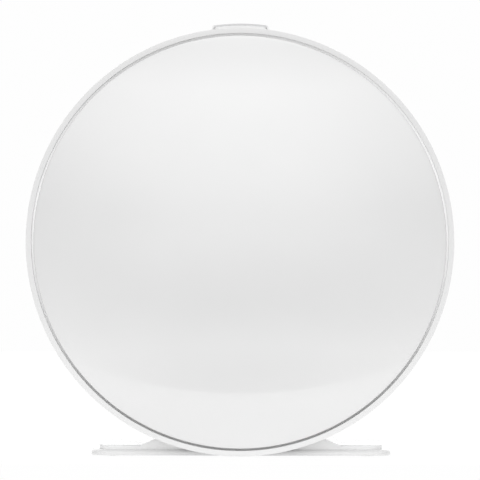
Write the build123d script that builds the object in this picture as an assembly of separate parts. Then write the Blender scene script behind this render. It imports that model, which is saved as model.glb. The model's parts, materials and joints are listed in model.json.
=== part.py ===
from build123d import *
import math
import os

# Round table-top smart speaker on a low stand.
# Millimetres, +Z up, the domed front faces -Y. The origin is on the floor, under the middle of the whole.
# Every piece of the disc is drawn about the disc's own axis: x across, y as the depth behind the front
# face of the rim ring, z up from the disc's centre. on_disc() then lifts it to its place on the stand.

# ---- Driving dimensions ----------------------------------------------------------------------------

# The round body
disc_radius = 110.0
floor_clearance = 0.8  # under the lowest point of the rim ring
rim_land = 2.6  # width of the rim ring's flat front
rim_depth = 9.0
rim_edge_round = 0.5
tongue_wall = 1.0
tongue_depth = 1.6
housing_wall = 2.6

# The front dome
shadow_gap = 1.3  # between the dome and the rim ring
dome_crown_radius = 215.0
dome_wall = 2.4
dome_skirt = 2.5  # depth of the dome's straight edge
dome_edge_round = 0.5
dome_rib_inset = 6.1  # of the rib that stands on the front frame, from the dome's edge
dome_rib_wall = 2.0
hook_count = 8
hook_angle = 5.0  # degrees of the rib that each hook takes
hook_reach = 1.3
hook_length = 2.0

# The lights in the shadow gap
guide_gap = 0.3  # dome skirt to the light guide
guide_thickness = 2.0
guide_width = 4.6
guide_leg = 1.2
lamp_height = 0.8
lamp_length = 2.8
lamp_width = 1.4
lamp_count = 24
lamp_inset = 6.0  # of the lamps' circle from the disc's edge
light_board_width = 3.5
board_thickness = 1.2

# The front frame
frame_depth = 7.3  # front face of its plate
frame_plate = 2.0
frame_hub_margin = 2.0  # of the hub round the loudspeaker's box
frame_ring_width = 34.0  # of its solid outer ring, with the rim ring
frame_spoke = 14.0
frame_rib_wall = 1.6
frame_rib_depth = 2.4
frame_screw_inset = 16.0  # from the disc's edge
frame_screw_count = 6

# The rear cover and its sound outlet
cover_margin = 4.0  # between the cover's edge and the shoulder
cover_thickness = 2.6
cover_lip = 5.0  # of the cover that rests on the housing's shelf
cover_screw_count = 4
dish_radius = 47.0
dish_depth = 3.0
slot_width = 2.6
slot_pitch = 6.0
slot_first_radius = 9.0
slot_rings = 6
slot_web = 3.4  # left standing between two slots of a ring
cloth_thickness = 0.4

# The loudspeaker box
box_radius = 50.0
box_wall = 2.2
box_clearance = 0.8  # between the box and the front frame's ribs
box_floor = 2.4
box_corner = 5.0
box_seal = 0.5
baffle_gap = 9.4  # from the baffle to the rear cover
baffle_thickness = 2.4
baffle_boss = 3.0  # height of the bosses for the loudspeaker's screws
box_ear_reach = 5.0  # of the ears' screws from the box's edge
box_screw_count = 4

# The loudspeaker
driver_radius = 33.0
driver_opening = 29.4
driver_seal = 0.4
basket_wall = 1.2
driver_screw_count = 4
coil_radius = 12.65  # outside of the coil's tube
coil_tube_wall = 0.3
coil_winding = 0.25
coil_clearance = 0.35
cup_wall = 2.3
cup_floor = 2.5
magnet_thickness = 5.0
pole_plate_thickness = 3.3
driver_clearance = 0.6  # between the magnet cup and the box's floor
basket_depth = 13.3  # from its seat on the magnet cup to the back of its flange
cone_thickness = 0.6
cone_outer_radius = 24.5
roll_width = 5.0
roll_thickness = 0.5
cone_travel = 2.5
cone_step = 0.8  # of the cone's edge before the flange's back
coil_recess = 7.6  # of the coil tube's end before the flange's back
dust_cap_rise = 4.5
spider_height = 2.1  # of the spider's ledge above the basket's seat
spider_outer = 20.5
driver_screw_margin = 1.0

# The press bar on top
key_front = 13.6
key_depth = 14.4
key_foot_width = 30.9
key_top_width = 29.0
key_proud = 3.2
key_pad_thickness = 1.0
key_wall = 1.6
key_corner = 2.0
key_gap = 0.35
key_flange = 2.0
key_travel = 0.6
key_post_radius = 1.6
key_post_spacing = 18.0
key_board_gap = 2.7  # between the key board and the microphones' pedestals
key_board_depth = 13.0
dome_spring_radius = 5.2
dome_spring_height = 4.4
dome_spring_wall = 0.6
push_switch_size = 4.0
push_switch_height = 1.8
plunger_radius = 1.1

# The bracket, key board and microphones under the press bar
bracket_drop = 18.0  # of the key board's table below the top of the body
bracket_wall = 2.0
bracket_width = 60.0
bracket_reach = 17.7  # of the bracket behind the front frame
bracket_flange = 7.5
mic_angle = 15.5  # degrees either side of the top
bracket_lug = 9.0  # of the pedestals' square tops
mic_hole_radius = 0.6
mic_boot_radius = 2.6
mic_board_thickness = 1.0
mic_capsule_height = 1.1
mic_capsule_width = 3.8
mic_capsule_depth = 3.0
mic_drop = 12.0  # of the microphone boards below the surface

# The main board
main_board_depth = 14.8
main_board_thickness = 1.6
main_board_margin = 6.0  # of the main board round the loudspeaker's box
main_board_gap = 10.0  # from the main board's outer edge to the circle of the frame's screws
main_board_angle = 146.0
main_screw_inset = 4.0  # of the main board's screws from its outer edge
main_screw_angles = (25.0, 64.0, 116.0, 155.0)
can_width = 34.0
can_height = 3.0
can_share = 0.79  # of the main board's width, as the two below
module_width = 20.0
module_board = 0.8
module_height = 1.8
module_share = 0.57
module_angle = 130.0
spreader_width = 20.0
spreader_base = 2.0
spreader_height = 7.0
spreader_share = 0.68
spreader_angle = 50.0
fin_count = 6
fin_thickness = 1.4
connector_width = 9.0
connector_depth = 4.5
board_edge = 3.0  # kept free along the edges of the main board and its module
antenna_angles = (12.0, 168.0)
antenna_width = 7.0
antenna_length = 26.0
antenna_thickness = 0.6
ribbon_angle = 70.0  # of the socket for the controls' ribbon
connector_angles = (24.0, ribbon_angle, 180 - ribbon_angle, 156.0)
connector_height = 2.5
ribbon_width = 7.0
ribbon_thickness = 0.35

# The controls on the back
control_gap = 7.0  # of the controls' row above the loudspeaker's box
control_inset = 12.0  # of the controls' row inside the cover's shelf
rocker_x = -12.5
rocker_width = 22.0
rocker_height = 7.5
rocker_proud = 0.8
rocker_tilt = 3.5  # degrees each way
rocker_pivot_drop = 4.0  # of its pin below the body's flat back
rocker_pin_radius = 0.8
rocker_gap = 0.5
ear_wall = 2.0
ear_width = 5.0
switch_spacing = 15.0
switch_size = 5.0
switch_height = 3.0
switch_stem = 1.2
mute_x = 14.0
mute_travel = 3.0
mute_knob = 5.0
mute_proud = 0.9
mute_gap = 0.25
mute_plate = 1.0
mute_lever_width = 1.4
lever_height = 5.6
mute_case_width = 11.0
mute_case_height = 6.0
mute_case_depth = 3.4
control_board_drop = 12.8  # from the controls' board to the body's flat back
control_board_width = 60.0
control_board_height = 9.5
control_board_x = -2.0
control_post_spacing = 53.5
inlet_board_width = 28.0
inlet_board_height = 12.0
inlet_inset = 9.0  # of the power inlet inside the cover's shelf
inlet_collar_radius = 4.6
inlet_bore_radius = 3.2
inlet_pin_radius = 1.0
inlet_bore_depth = 9.0

# The stand
stand_front = 11.0  # depth of the stand's front face behind the rim ring's
stand_tail = 8.0  # of the stand behind the body's flat back
stand_width = 155.5
stand_corner = 10.0
stand_step = 4.3  # ledge between the two layers at the sides and the back
stand_edge_round = 2.2
foot_gap = 0.5  # the tray's height above the floor
tray_height = 3.0
tray_wall = 1.2
plinth_height = 2.4
plinth_edge_round = 0.8
ramp_start = 51.5  # half the distance between the feet of the ramps
ramp_slope = 0.4
heel_height = 20.0
heel_inset = 15.0  # of the cradle's highest line from the stand's back
heel_land = 3.0  # flat top of the heel
foot_radius = 5.5
foot_height = 1.3
foot_inset = 11.5
weight_inset = 9.0  # of the steel weight from the stand's edge

# Clearances and fasteners
seat_gap = 0.3  # between curved faces that lie on one another
slip_gap = 0.1  # a tongue in its groove, a piece in its pocket
running_gap = 0.05  # a pin in its bore, on the radius
screw_radius = 1.25
screw_head_radius = 2.4
screw_head_height = 1.6
screw_length = 8.0
boss_wall = 1.9
boss_end = 1.0  # left solid at the end of a blind bore
head_recess = 0.2  # of a screw head below the face round it
stand_screw_radius = 2.0
stand_screw_head = 4.0
stand_screw_spacing = 40.0
stand_screw_depth = 22.0
stand_boss_height = 9.0

# ---- Worked out from them --------------------------------------------------------------------------

dome_radius = disc_radius - rim_land - shadow_gap
dome_centre = math.sqrt(dome_crown_radius**2 - dome_radius**2)  # depth of the dome's centre of curvature
dome_rise = dome_crown_radius - dome_centre
dome_rib_radius = dome_radius - dome_rib_inset
rim_inner = disc_radius - rim_land
lamp_radius = disc_radius - lamp_inset
boss_radius = screw_radius + boss_wall

frame_back = frame_depth + frame_plate
frame_screw_radius = disc_radius - frame_screw_inset
frame_ring_radius = disc_radius - frame_ring_width
frame_hub_radius = box_radius + frame_hub_margin

# The stack from the front frame to the flat back
box_front = frame_back + frame_rib_depth + box_clearance
cup_front = box_front + box_floor + driver_clearance
magnet_front = cup_front + cup_floor
seat_height = magnet_front + magnet_thickness + pole_plate_thickness
flange_rear = seat_height + basket_depth
flange_front = flange_rear - basket_wall
baffle_rear = flange_front - driver_seal
baffle_front = baffle_rear - baffle_thickness
box_back = baffle_front - box_seal
cover_seat = baffle_rear + baffle_gap
body_depth = cover_seat + cover_thickness  # front of the rim ring to the flat back

cup_radius = coil_radius + coil_winding + coil_clearance + cup_wall
cup_bore = cup_radius - cup_wall
pole_radius = coil_radius - coil_tube_wall - coil_clearance
spider_depth = seat_height + spider_height
coil_back = flange_rear - coil_recess
cone_edge_depth = flange_rear - cone_step
driver_screw_radius = driver_radius + screw_radius + driver_screw_margin
box_ear_radius = box_radius + box_ear_reach

# The radii of the back, from the box outwards
control_height = box_radius + control_gap  # above the disc's centre
shelf_radius = control_height + control_inset
cover_radius = shelf_radius + cover_lip
cover_screw_radius = cover_radius - cover_lip / 2
back_flat_radius = cover_radius + cover_margin
inlet_height = inlet_inset - shelf_radius
control_board_rear = body_depth - control_board_drop
control_board_depth = control_board_rear - board_thickness
switch_top = control_board_rear + switch_height + switch_stem
rocker_pivot_depth = body_depth - rocker_pivot_drop
lever_back = control_board_rear + lever_height

main_board_inner = box_radius + main_board_margin
main_board_outer = frame_screw_radius - main_board_gap
main_board_width = main_board_outer - main_board_inner
main_board_middle = main_board_inner + main_board_width / 2
main_screw_radius = main_board_outer - main_screw_inset
main_board_rear = main_board_depth + main_board_thickness

key_back = key_front + key_depth
key_middle = key_front + key_depth / 2
bracket_top = disc_radius - bracket_drop
bracket_depth = frame_back + bracket_reach
key_board_top = bracket_top + board_thickness
dome_spring_top = key_board_top + dome_spring_height
mic_board_radius = disc_radius - mic_drop
mic_reach = mic_board_radius * math.sin(math.radians(mic_angle))  # of each microphone from the middle
key_board_width = 2 * (mic_reach - bracket_lug / 2 - key_board_gap)

disc_centre_z = disc_radius + floor_clearance
plinth_top = foot_gap + tray_height + plinth_height
notch_height = plinth_top - disc_centre_z  # flat under the housing, from the disc's centre
stand_back = body_depth + stand_tail
plinth_front = stand_front + stand_edge_round  # no ledge at the front but the tray's rounded edge
heel_depth = stand_back - heel_inset
tray_screw_seat = foot_gap + head_recess + screw_head_height
tray_boss_radius = screw_head_radius + slip_gap + tray_wall
overall_depth = dome_rise + stand_back
rim_front_y = dome_rise - overall_depth / 2


# ---- Helpers ---------------------------------------------------------------------------------------


def turned(*points):
    """A ring or disc turned about the disc's axis, from corners given as (radius, depth)."""
    return revolve(make_face(Polyline(*points, close=True)), Axis.Y)


def tube(inner, outer, front, back):
    """A plain ring about the disc's axis."""
    return turned((inner, front), (outer, front), (outer, back), (inner, back))


def hoop(shape, radius, depth):
    """The closed round edge of a turned shape at a radius and a depth."""
    closed = [e for e in shape.edges() if e.is_closed]
    return min(closed, key=lambda e: abs(e.position_at(0).Y - depth) + abs(e.radius - radius))


def slab(shape, front, back):
    """A flat shape drawn in x and z, as thick as from one depth to another."""
    return extrude(Plane.XZ.offset(-front) * shape, -(back - front))


def plate(shape, low, high):
    """A flat shape drawn in x and depth, as thick as from one height to another."""
    return extrude(Pos(0, 0, low) * shape, high - low)


def polar(radius, angle):
    """x and z of a point on the disc's face, with the angle from +X in degrees."""
    return radius * math.cos(math.radians(angle)), radius * math.sin(math.radians(angle))


def round_the_disc(count, radius, first=0.0):
    """Evenly spaced points on a circle about the disc's axis."""
    return [polar(radius, first + 360 * i / count) for i in range(count)]


def rods(points, radius, front, back):
    """A round rod at each point, lying along the depth."""
    return [slab(Pos(x, z) * Circle(radius), front, back) for x, z in points]


def joined(shapes):
    """One shape from many, touching or not."""
    total = shapes[0]
    for shape in shapes[1:]:
        total += shape
    return total


def group(solids):
    """Separate solids that share one node."""
    return Compound(children=[s.solid() for s in solids])


def screw(x, z, head_front, length, towards=1, radius=screw_radius, head_radius=screw_head_radius):
    """A pan-head screw along the depth: its head starts at head_front and its shank runs on from it."""
    head = Cylinder(head_radius, screw_head_height, align=(Align.CENTER, Align.CENTER, Align.MIN))
    head = chamfer(head.edges().sort_by(Axis.Z)[0], screw_head_height / 3)
    drive = Cylinder(head_radius / 2.4, screw_head_height, align=(Align.CENTER, Align.CENTER, Align.CENTER))
    shank = Pos(0, 0, screw_head_height) * Cylinder(
        radius, length, align=(Align.CENTER, Align.CENTER, Align.MIN)
    )
    turn = Rot(-90, 0, 0) if towards > 0 else Rot(90, 0, 0)
    return Pos(x, head_front, z) * turn * (head - drive + shank)


def body_form(grow=0.0):
    """The round body behind the rim ring as one closed form, grown or shrunk evenly."""
    across = disc_radius - back_flat_radius + grow
    along = body_depth - rim_depth + grow
    shoulder = EllipticalCenterArc((back_flat_radius, rim_depth), across, along, start_angle=0, arc_size=90)
    rest = Polyline(
        (back_flat_radius, rim_depth + along),
        (0, rim_depth + along),
        (0, rim_depth),
        (back_flat_radius + across, rim_depth),
    )
    return revolve(make_face(shoulder + rest), Axis.Y)


def above(height, reach=4 * disc_radius):
    """All the space above a height."""
    return Pos(0, 0, height + reach / 2) * Box(reach, reach, reach)


def on_disc(shape):
    """From the disc's own axis to the part's frame."""
    return Pos(0, rim_front_y, disc_centre_z) * shape


# ---- The front ---------------------------------------------------------------------------------------


def front_dome():
    """The gloss front: a shallow spherical cap with a short skirt, a rib to stand on and snap hooks."""
    inner_crown = dome_crown_radius - dome_wall
    skirt_inner = dome_radius - dome_wall
    skirt_top = dome_centre - math.sqrt(inner_crown**2 - skirt_inner**2)
    half = math.asin(dome_radius / dome_crown_radius) / 2
    inner_half = math.asin(skirt_inner / inner_crown) / 2
    outside = ThreePointArc(
        (0, -dome_rise),
        (dome_crown_radius * math.sin(half), dome_centre - dome_crown_radius * math.cos(half)),
        (dome_radius, 0),
    )
    inside = ThreePointArc(
        (skirt_inner, skirt_top),
        (inner_crown * math.sin(inner_half), dome_centre - inner_crown * math.cos(inner_half)),
        (0, dome_centre - inner_crown),
    )
    edge = Polyline((dome_radius, 0), (dome_radius, dome_skirt), (skirt_inner, dome_skirt), (skirt_inner, skirt_top))
    spine = Line((0, dome_centre - inner_crown), (0, -dome_rise))
    cap = revolve(make_face(outside + edge + inside + spine), Axis.Y)
    cap = fillet(hoop(cap, dome_radius, 0), dome_edge_round)

    rib_inner = dome_rib_radius - dome_rib_wall
    rib_top = dome_centre - math.sqrt(inner_crown**2 - dome_rib_radius**2) - dome_wall / 2
    rib = tube(rib_inner, dome_rib_radius, rib_top, frame_depth)
    catch = frame_back + slip_gap
    hook_ring = turned(
        (rib_inner, frame_depth),
        (dome_rib_radius, frame_depth),
        (dome_rib_radius, catch),
        (dome_rib_radius + hook_reach, catch),
        (dome_rib_radius, catch + hook_length),
        (rib_inner, catch + hook_length),
    )
    hooks = [slab(bar, frame_depth, catch + hook_length) & hook_ring for bar in hook_bars(0)]
    return cap + rib + hooks


def hook_bars(gap):
    """A flat bar across each snap hook of the dome, wider by a gap on each side for the frame's slots."""
    inner = dome_rib_radius - dome_rib_wall - gap
    outer = dome_rib_radius + hook_reach + gap
    width = 2 * dome_rib_radius * math.tan(math.radians(hook_angle / 2)) + 2 * gap
    bar = Pos((inner + outer) / 2, 0) * Rectangle(outer - inner, width)
    return [Rot(0, 0, 360 * (i + 0.5) / hook_count) * bar for i in range(hook_count)]


def rim_ring():
    """The thin white ring round the dome, with a tongue that snaps into the housing's front edge."""
    ring = tube(rim_inner, disc_radius, 0, rim_depth)
    ring = fillet([hoop(ring, rim_inner, 0), hoop(ring, disc_radius, 0)], rim_edge_round)
    return ring + tube(*tongue(0), rim_depth, rim_depth + tongue_depth)


def tongue(gap):
    """Inner and outer radius of the rim ring's tongue, or of its groove with a gap."""
    middle = disc_radius - rim_land / 2
    return middle - tongue_wall / 2 - gap, middle + tongue_wall / 2 + gap


def light_guide_ring():
    """The opal ring at the bottom of the shadow gap, on a leg that stands on the front frame."""
    outer = rim_inner - 2 * slip_gap
    front = dome_skirt + guide_gap
    back = front + guide_thickness
    return turned(
        (outer - guide_width, front),
        (outer, front),
        (outer, frame_depth),
        (outer - guide_leg, frame_depth),
        (outer - guide_leg, back),
        (outer - guide_width, back),
    )


def light_ring_board():
    return tube(
        lamp_radius - light_board_width / 2,
        lamp_radius + light_board_width / 2,
        frame_depth - board_thickness,
        frame_depth,
    )


def light_ring_lamps():
    face = frame_depth - board_thickness
    lamp = Pos(lamp_radius, face - lamp_height / 2, 0) * Box(lamp_width, lamp_height, lamp_length)
    return group([Rot(0, 360 * i / lamp_count, 0) * lamp for i in range(lamp_count)])


def frame_windows():
    """The openings between the front frame's spokes."""
    ring = Circle(frame_ring_radius) - Circle(frame_hub_radius)
    for i in range(frame_screw_count // 2):
        ring -= Rot(0, 0, 360 * i / frame_screw_count) * Rectangle(3 * frame_ring_radius, frame_spoke)
    return ring


def front_frame():
    """The round carrier behind the dome: spokes, ribs, slots for the dome's hooks and posts for the board."""
    frame = slab(Circle(rim_inner - seat_gap) - frame_windows(), frame_depth, frame_back)
    rib_back = frame_back + frame_rib_depth
    for radius in (frame_hub_radius - frame_rib_wall, frame_ring_radius + frame_rib_wall):
        frame += tube(radius - frame_rib_wall / 2, radius + frame_rib_wall / 2, frame_back, rib_back)
    for i in range(frame_screw_count // 2):
        spoke_rib = Rot(0, 0, 360 * i / frame_screw_count) * Rectangle(2 * frame_ring_radius, frame_rib_wall)
        frame += slab(spoke_rib - Circle(frame_hub_radius - frame_rib_wall), frame_back, rib_back)
    frame -= [slab(bar, frame_depth - 1, frame_back + 1) for bar in hook_bars(seat_gap)]
    frame += rods(main_screw_points(), boss_radius, frame_back, main_board_depth)
    frame -= rods(main_screw_points(), screw_radius, frame_back, main_board_depth + 1)
    frame -= rods(bracket_screw_points(), screw_radius, frame_depth - 1, frame_back + 1)
    screws = round_the_disc(frame_screw_count, frame_screw_radius)
    return frame - rods(screws, screw_radius + slip_gap, frame_depth - 1, frame_back + 1)


def frame_screws():
    points = round_the_disc(frame_screw_count, frame_screw_radius)
    return group([screw(x, z, frame_depth - screw_head_height, frame_plate + screw_length) for x, z in points])


# ---- The housing and the rear cover --------------------------------------------------------------------


def key_opening(gap):
    """The press bar's outline from above, with a gap all round."""
    outline = RectangleRounded(key_foot_width + 2 * gap, key_depth + 2 * gap, key_corner + gap)
    return Pos(0, key_middle) * outline


def rear_housing():
    """The deep round shell: a pebble form with a flat notch where it sits on the stand."""
    notch = above(notch_height) + slab(Circle(2 * disc_radius), rim_depth, stand_front - seat_gap)
    seat = slab(Circle(rim_inner), rim_depth, frame_back + slip_gap)
    inside = body_form(-housing_wall) & (above(notch_height + housing_wall) + seat)
    shell = (body_form() & notch) - inside
    shell -= slab(Circle(cover_radius + seat_gap), cover_seat, body_depth + 1)
    shelf_outer = cover_radius + seat_gap + housing_wall
    shelf_front = cover_seat - housing_wall
    shell -= slab(Circle(shelf_radius), shelf_front - 1, body_depth + 1)
    shell += tube(shelf_radius, shelf_outer, shelf_front, cover_seat)

    core = body_form(-housing_wall / 2) & above(notch_height + housing_wall / 2)
    for x, z in round_the_disc(frame_screw_count, frame_screw_radius):
        boss = slab(Pos(x, z) * Circle(boss_radius), frame_back, body_depth) & core
        bore = slab(Pos(x, z) * Circle(screw_radius), frame_back - 1, frame_back + screw_length + 2)
        shell = shell + boss - bore
    for x, z in cover_screw_points():
        boss_front = shelf_front - screw_length + cover_thickness
        shell += slab(Pos(x, z) * Circle(cover_lip / 2), boss_front, shelf_front)
        shell -= slab(Pos(x, z) * Circle(screw_radius), boss_front - 1, cover_seat + 1)
    for x in (-stand_screw_spacing / 2, stand_screw_spacing / 2):
        spot = Pos(x, stand_screw_depth) * Circle(2 * stand_screw_radius)
        shell += plate(spot, notch_height + housing_wall / 2, notch_height + stand_boss_height)
        bore = Pos(x, stand_screw_depth) * Circle(stand_screw_radius)
        shell -= plate(bore, notch_height - 1, notch_height + stand_boss_height - housing_wall / 2)

    shell -= tube(*tongue(slip_gap), rim_depth - 1, rim_depth + tongue_depth + 2 * slip_gap)
    shell -= plate(key_opening(key_gap), disc_radius - 3 * housing_wall, disc_radius + 1)
    port = plate(Pos(0, key_middle) * Circle(mic_hole_radius), disc_radius - 4 * housing_wall, disc_radius + 1)
    shell -= [Rot(0, angle, 0) * port for angle in (-mic_angle, mic_angle)]
    return shell


def cover_screw_points():
    return round_the_disc(cover_screw_count, cover_screw_radius, 45)


def dished_plate(front, back, radius):
    """A round plate that follows the hollow of the sound outlet, between two levels of its edge."""
    crown = (dish_radius**2 + dish_depth**2) / (2 * dish_depth)
    edges = []
    for level in (front, back):
        middle = level - dish_depth
        height = crown - math.sqrt(crown**2 - radius**2)
        half = math.asin(radius / crown) / 2
        quarter = (crown * math.sin(half), middle + crown * (1 - math.cos(half)))
        edges.append(((0, middle), quarter, (radius, middle + height)))
    low, high = edges
    outline = ThreePointArc(*low) + Line(low[2], high[2]) + ThreePointArc(*reversed(high)) + Line(high[0], low[0])
    return revolve(make_face(outline), Axis.Y)


def sound_slots():
    """Rings of arc-shaped slots about the middle of the sound outlet."""
    slots = []
    for ring in range(slot_rings):
        radius = slot_first_radius + ring * slot_pitch
        count = 4 + 2 * ring
        step = 360 / count
        gap_angle = math.degrees((slot_web + slot_width) / radius)
        for i in range(count):
            start = step * (i + ring / 2) + gap_angle / 2
            slots.append(SlotArc(CenterArc((0, 0), radius, start, step - gap_angle), slot_width))
    return slots


def rear_cover():
    """The round back panel: a dished sound outlet, and openings for the controls and the power inlet."""
    cover = tube(dish_radius, cover_radius, cover_seat, body_depth)
    cover = fillet(hoop(cover, cover_radius, body_depth), rim_edge_round)
    cover += dished_plate(cover_seat, body_depth, dish_radius)
    cover -= [slab(slot, cover_seat - 2 * dish_depth, body_depth + 1) for slot in sound_slots()]
    cover += tube(box_radius - box_wall, box_radius, baffle_rear, cover_seat)
    for x, z in round_the_disc(box_screw_count, box_ear_radius, 45):
        cover += slab(Pos(x, z) * Circle(boss_radius), baffle_rear, cover_seat)
        cover -= slab(Pos(x, z) * Circle(screw_radius), baffle_rear - 1, cover_seat)
    for x, z in cover_screw_points():
        cover -= slab(Pos(x, z) * Circle(screw_radius + slip_gap), cover_seat - 1, body_depth + 1)
        head = Pos(x, z) * Circle(screw_head_radius + slip_gap)
        cover -= slab(head, body_depth - screw_head_height, body_depth + 1)
    posts = control_post_points() + inlet_post_points()
    cover += rods(posts, boss_radius, control_board_rear, cover_seat)
    cover -= rods(posts, screw_radius, control_board_rear - 1, control_board_rear + screw_length / 2)
    rocker_hole = RectangleRounded(rocker_width + 2 * rocker_gap, rocker_height + 2 * rocker_gap, rocker_gap * 3)
    cover -= slab(Pos(rocker_x, control_height) * rocker_hole, cover_seat - 1, body_depth + 1)
    mute_hole = RectangleRounded(mute_knob + mute_travel + 2 * mute_gap, mute_knob + 2 * mute_gap, mute_gap * 4)
    cover -= slab(Pos(mute_x, control_height) * mute_hole, cover_seat - 1, body_depth + 1)
    cover -= slab(Pos(0, inlet_height) * Circle(inlet_collar_radius + seat_gap), cover_seat - 1, body_depth + 1)
    return cover + rocker_ears()


def control_post_points():
    return [(control_board_x + side * control_post_spacing / 2, control_height) for side in (-1, 1)]


def inlet_post_points():
    return [(side * (inlet_board_width / 2 - boss_radius), inlet_height) for side in (-1, 1)]


def rocker_ears():
    """The two ears inside the cover that hold the rocker's pin."""
    inner = rocker_height / 2 + rocker_gap
    ears = []
    for side in (-1, 1):
        middle = control_height + side * (inner + ear_wall / 2)
        depth_span = cover_seat - (rocker_pivot_depth - ear_width / 2)
        block = Pos(rocker_x, cover_seat - depth_span / 2, middle) * Box(ear_width, depth_span, ear_wall)
        bore = Pos(rocker_x, rocker_pivot_depth, middle) * Cylinder(rocker_pin_radius + running_gap, 2 * ear_wall)
        ears.append(block - bore)
    return joined(ears)


def rear_cover_screws():
    face = body_depth
    return group([screw(x, z, face, screw_length, towards=-1) for x, z in cover_screw_points()])


def acoustic_cloth():
    """The woven disc bonded behind the slots."""
    rear = cover_seat - slip_gap
    return dished_plate(rear - cloth_thickness, rear, dish_radius - box_wall)


# ---- The loudspeaker box -------------------------------------------------------------------------------


def box_ears():
    """The round ears that take the box's screws."""
    points = round_the_disc(box_screw_count, box_ear_radius, 45)
    ears = Circle(0.1)
    for x, z in points:
        arm = Pos(x * 0.93, z * 0.93) * Rot(0, 0, math.degrees(math.atan2(z, x))) * Rectangle(
            2 * boss_radius, 2 * boss_radius
        )
        ears += arm + Pos(x, z) * Circle(boss_radius)
    holes = [Pos(x, z) * Circle(screw_radius + slip_gap) for x, z in points]
    return (ears - Circle(box_radius - box_wall)) - holes


def speaker_box():
    """The sealed tub behind the loudspeaker, open to the back and closed by the baffle."""
    inner = box_radius - box_wall
    floor = box_front + box_floor
    tub = turned(
        (0, box_front),
        (box_radius - box_corner, box_front),
        (box_radius, box_front + box_corner),
        (box_radius, box_back),
        (inner, box_back),
        (inner, floor + box_corner - box_wall),
        (inner - box_corner + box_wall, floor),
        (0, floor),
    )
    return tub + slab(box_ears(), box_back - baffle_thickness, box_back)


def box_gasket():
    return tube(box_radius - box_wall, box_radius, box_back, baffle_front)


def driver_baffle():
    """The plate that carries the loudspeaker and closes the box."""
    shape = Circle(box_radius) + box_ears()
    shape -= Circle(driver_opening)
    holes = round_the_disc(driver_screw_count, driver_screw_radius)
    baffle = slab(shape, baffle_front, baffle_rear)
    baffle += rods(holes, boss_radius, baffle_front - baffle_boss, baffle_front)
    return baffle - rods(holes, screw_radius, baffle_front - baffle_boss + boss_end, baffle_rear + 1)


def box_screws():
    head_front = box_back - baffle_thickness - screw_head_height
    points = round_the_disc(box_screw_count, box_ear_radius, 45)
    length = 2 * baffle_thickness + box_seal + screw_length
    return group([screw(x, z, head_front, length) for x, z in points])


# ---- The loudspeaker -----------------------------------------------------------------------------------


def driver_flange():
    """The loudspeaker's front outline: a round flange with an ear at each screw."""
    flange = Circle(driver_radius)
    for x, z in round_the_disc(driver_screw_count, driver_screw_radius):
        flange += Pos(x, z) * Circle(boss_radius)
    for x, z in round_the_disc(driver_screw_count, driver_screw_radius):
        flange -= Pos(x, z) * Circle(screw_radius + slip_gap)
    return flange


def driver_gasket():
    return slab(driver_flange() - Circle(driver_opening), baffle_rear, flange_front)


def driver_basket():
    """The pressed steel basket: flange, sloping windowed wall, spider ledge and seat on the magnet cup."""
    wall_front = driver_opening - 0.6
    flange = slab(driver_flange() - Circle(wall_front - basket_wall), flange_front, flange_rear)
    wall = turned(
        (wall_front, flange_rear),
        (wall_front, flange_front),
        (spider_outer + basket_wall, spider_depth - basket_wall),
        (spider_outer - 1, spider_depth - basket_wall),
        (spider_outer - 1, seat_height),
        (cup_bore + 0.3, seat_height),
        (cup_bore + 0.3, seat_height + basket_wall),
        (spider_outer - 1 - basket_wall, seat_height + basket_wall),
        (spider_outer - 1 - basket_wall, spider_depth),
        (spider_outer + 0.2, spider_depth),
        (wall_front - basket_wall, flange_rear),
    )
    window = slab(Pos(driver_radius, 0) * Rectangle(2 * driver_radius, 11), spider_depth + 1, flange_front - 1)
    wall -= [Rot(0, 30 + 60 * i, 0) * window for i in range(6)]
    return flange + wall


def magnet_cup():
    """The soft iron cup that carries the magnet and closes the field round the coil."""
    return turned(
        (0, cup_front),
        (cup_radius - 1, cup_front),
        (cup_radius, cup_front + 1),
        (cup_radius, seat_height),
        (cup_bore, seat_height),
        (cup_bore, magnet_front),
        (0, magnet_front),
    )


def driver_magnet():
    return slab(Circle(pole_radius - 1), magnet_front, magnet_front + magnet_thickness)


def pole_plate():
    return slab(Circle(pole_radius), magnet_front + magnet_thickness, seat_height)


def voice_coil():
    """The coil's tube with its winding in the magnet's gap."""
    tube_front = magnet_front + cone_travel + 0.7
    return turned(
        (coil_radius - coil_tube_wall, tube_front),
        (coil_radius, tube_front),
        (coil_radius, tube_front + 0.5),
        (coil_radius + coil_winding, tube_front + 0.5),
        (coil_radius + coil_winding, seat_height + 0.6),
        (coil_radius, seat_height + 0.6),
        (coil_radius, coil_back),
        (coil_radius - coil_tube_wall, coil_back),
    )


def cone():
    """The paper cone between the coil's tube and the surround."""
    neck = coil_back - 1.5
    return turned(
        (coil_radius, neck),
        (coil_radius + 0.8, neck),
        (cone_outer_radius, cone_edge_depth),
        (cone_outer_radius, cone_edge_depth + cone_thickness),
        (cone_outer_radius - 0.8, cone_edge_depth + cone_thickness),
        (coil_radius, neck + 1.5 * cone_thickness),
    )


def bowl_arc(base, rise):
    """Three points of a bowl's arc, from its edge at the coil's end to its crown."""
    crown = (base**2 + rise**2) / (2 * rise)
    half = math.asin(base / crown) / 2
    middle = (crown * math.sin(half), coil_back + rise - crown * (1 - math.cos(half)))
    return (base, coil_back), middle, (0, coil_back + rise)


def dust_cap():
    """The domed cap glued over the end of the coil's tube."""
    base = coil_radius + cone_thickness
    outer = bowl_arc(base, dust_cap_rise)
    inner = bowl_arc(base - cone_thickness, dust_cap_rise - cone_thickness)
    outline = ThreePointArc(*outer) + Line(outer[2], inner[2]) + ThreePointArc(*reversed(inner))
    return revolve(make_face(outline + Line(inner[0], outer[0])), Axis.Y)


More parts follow.
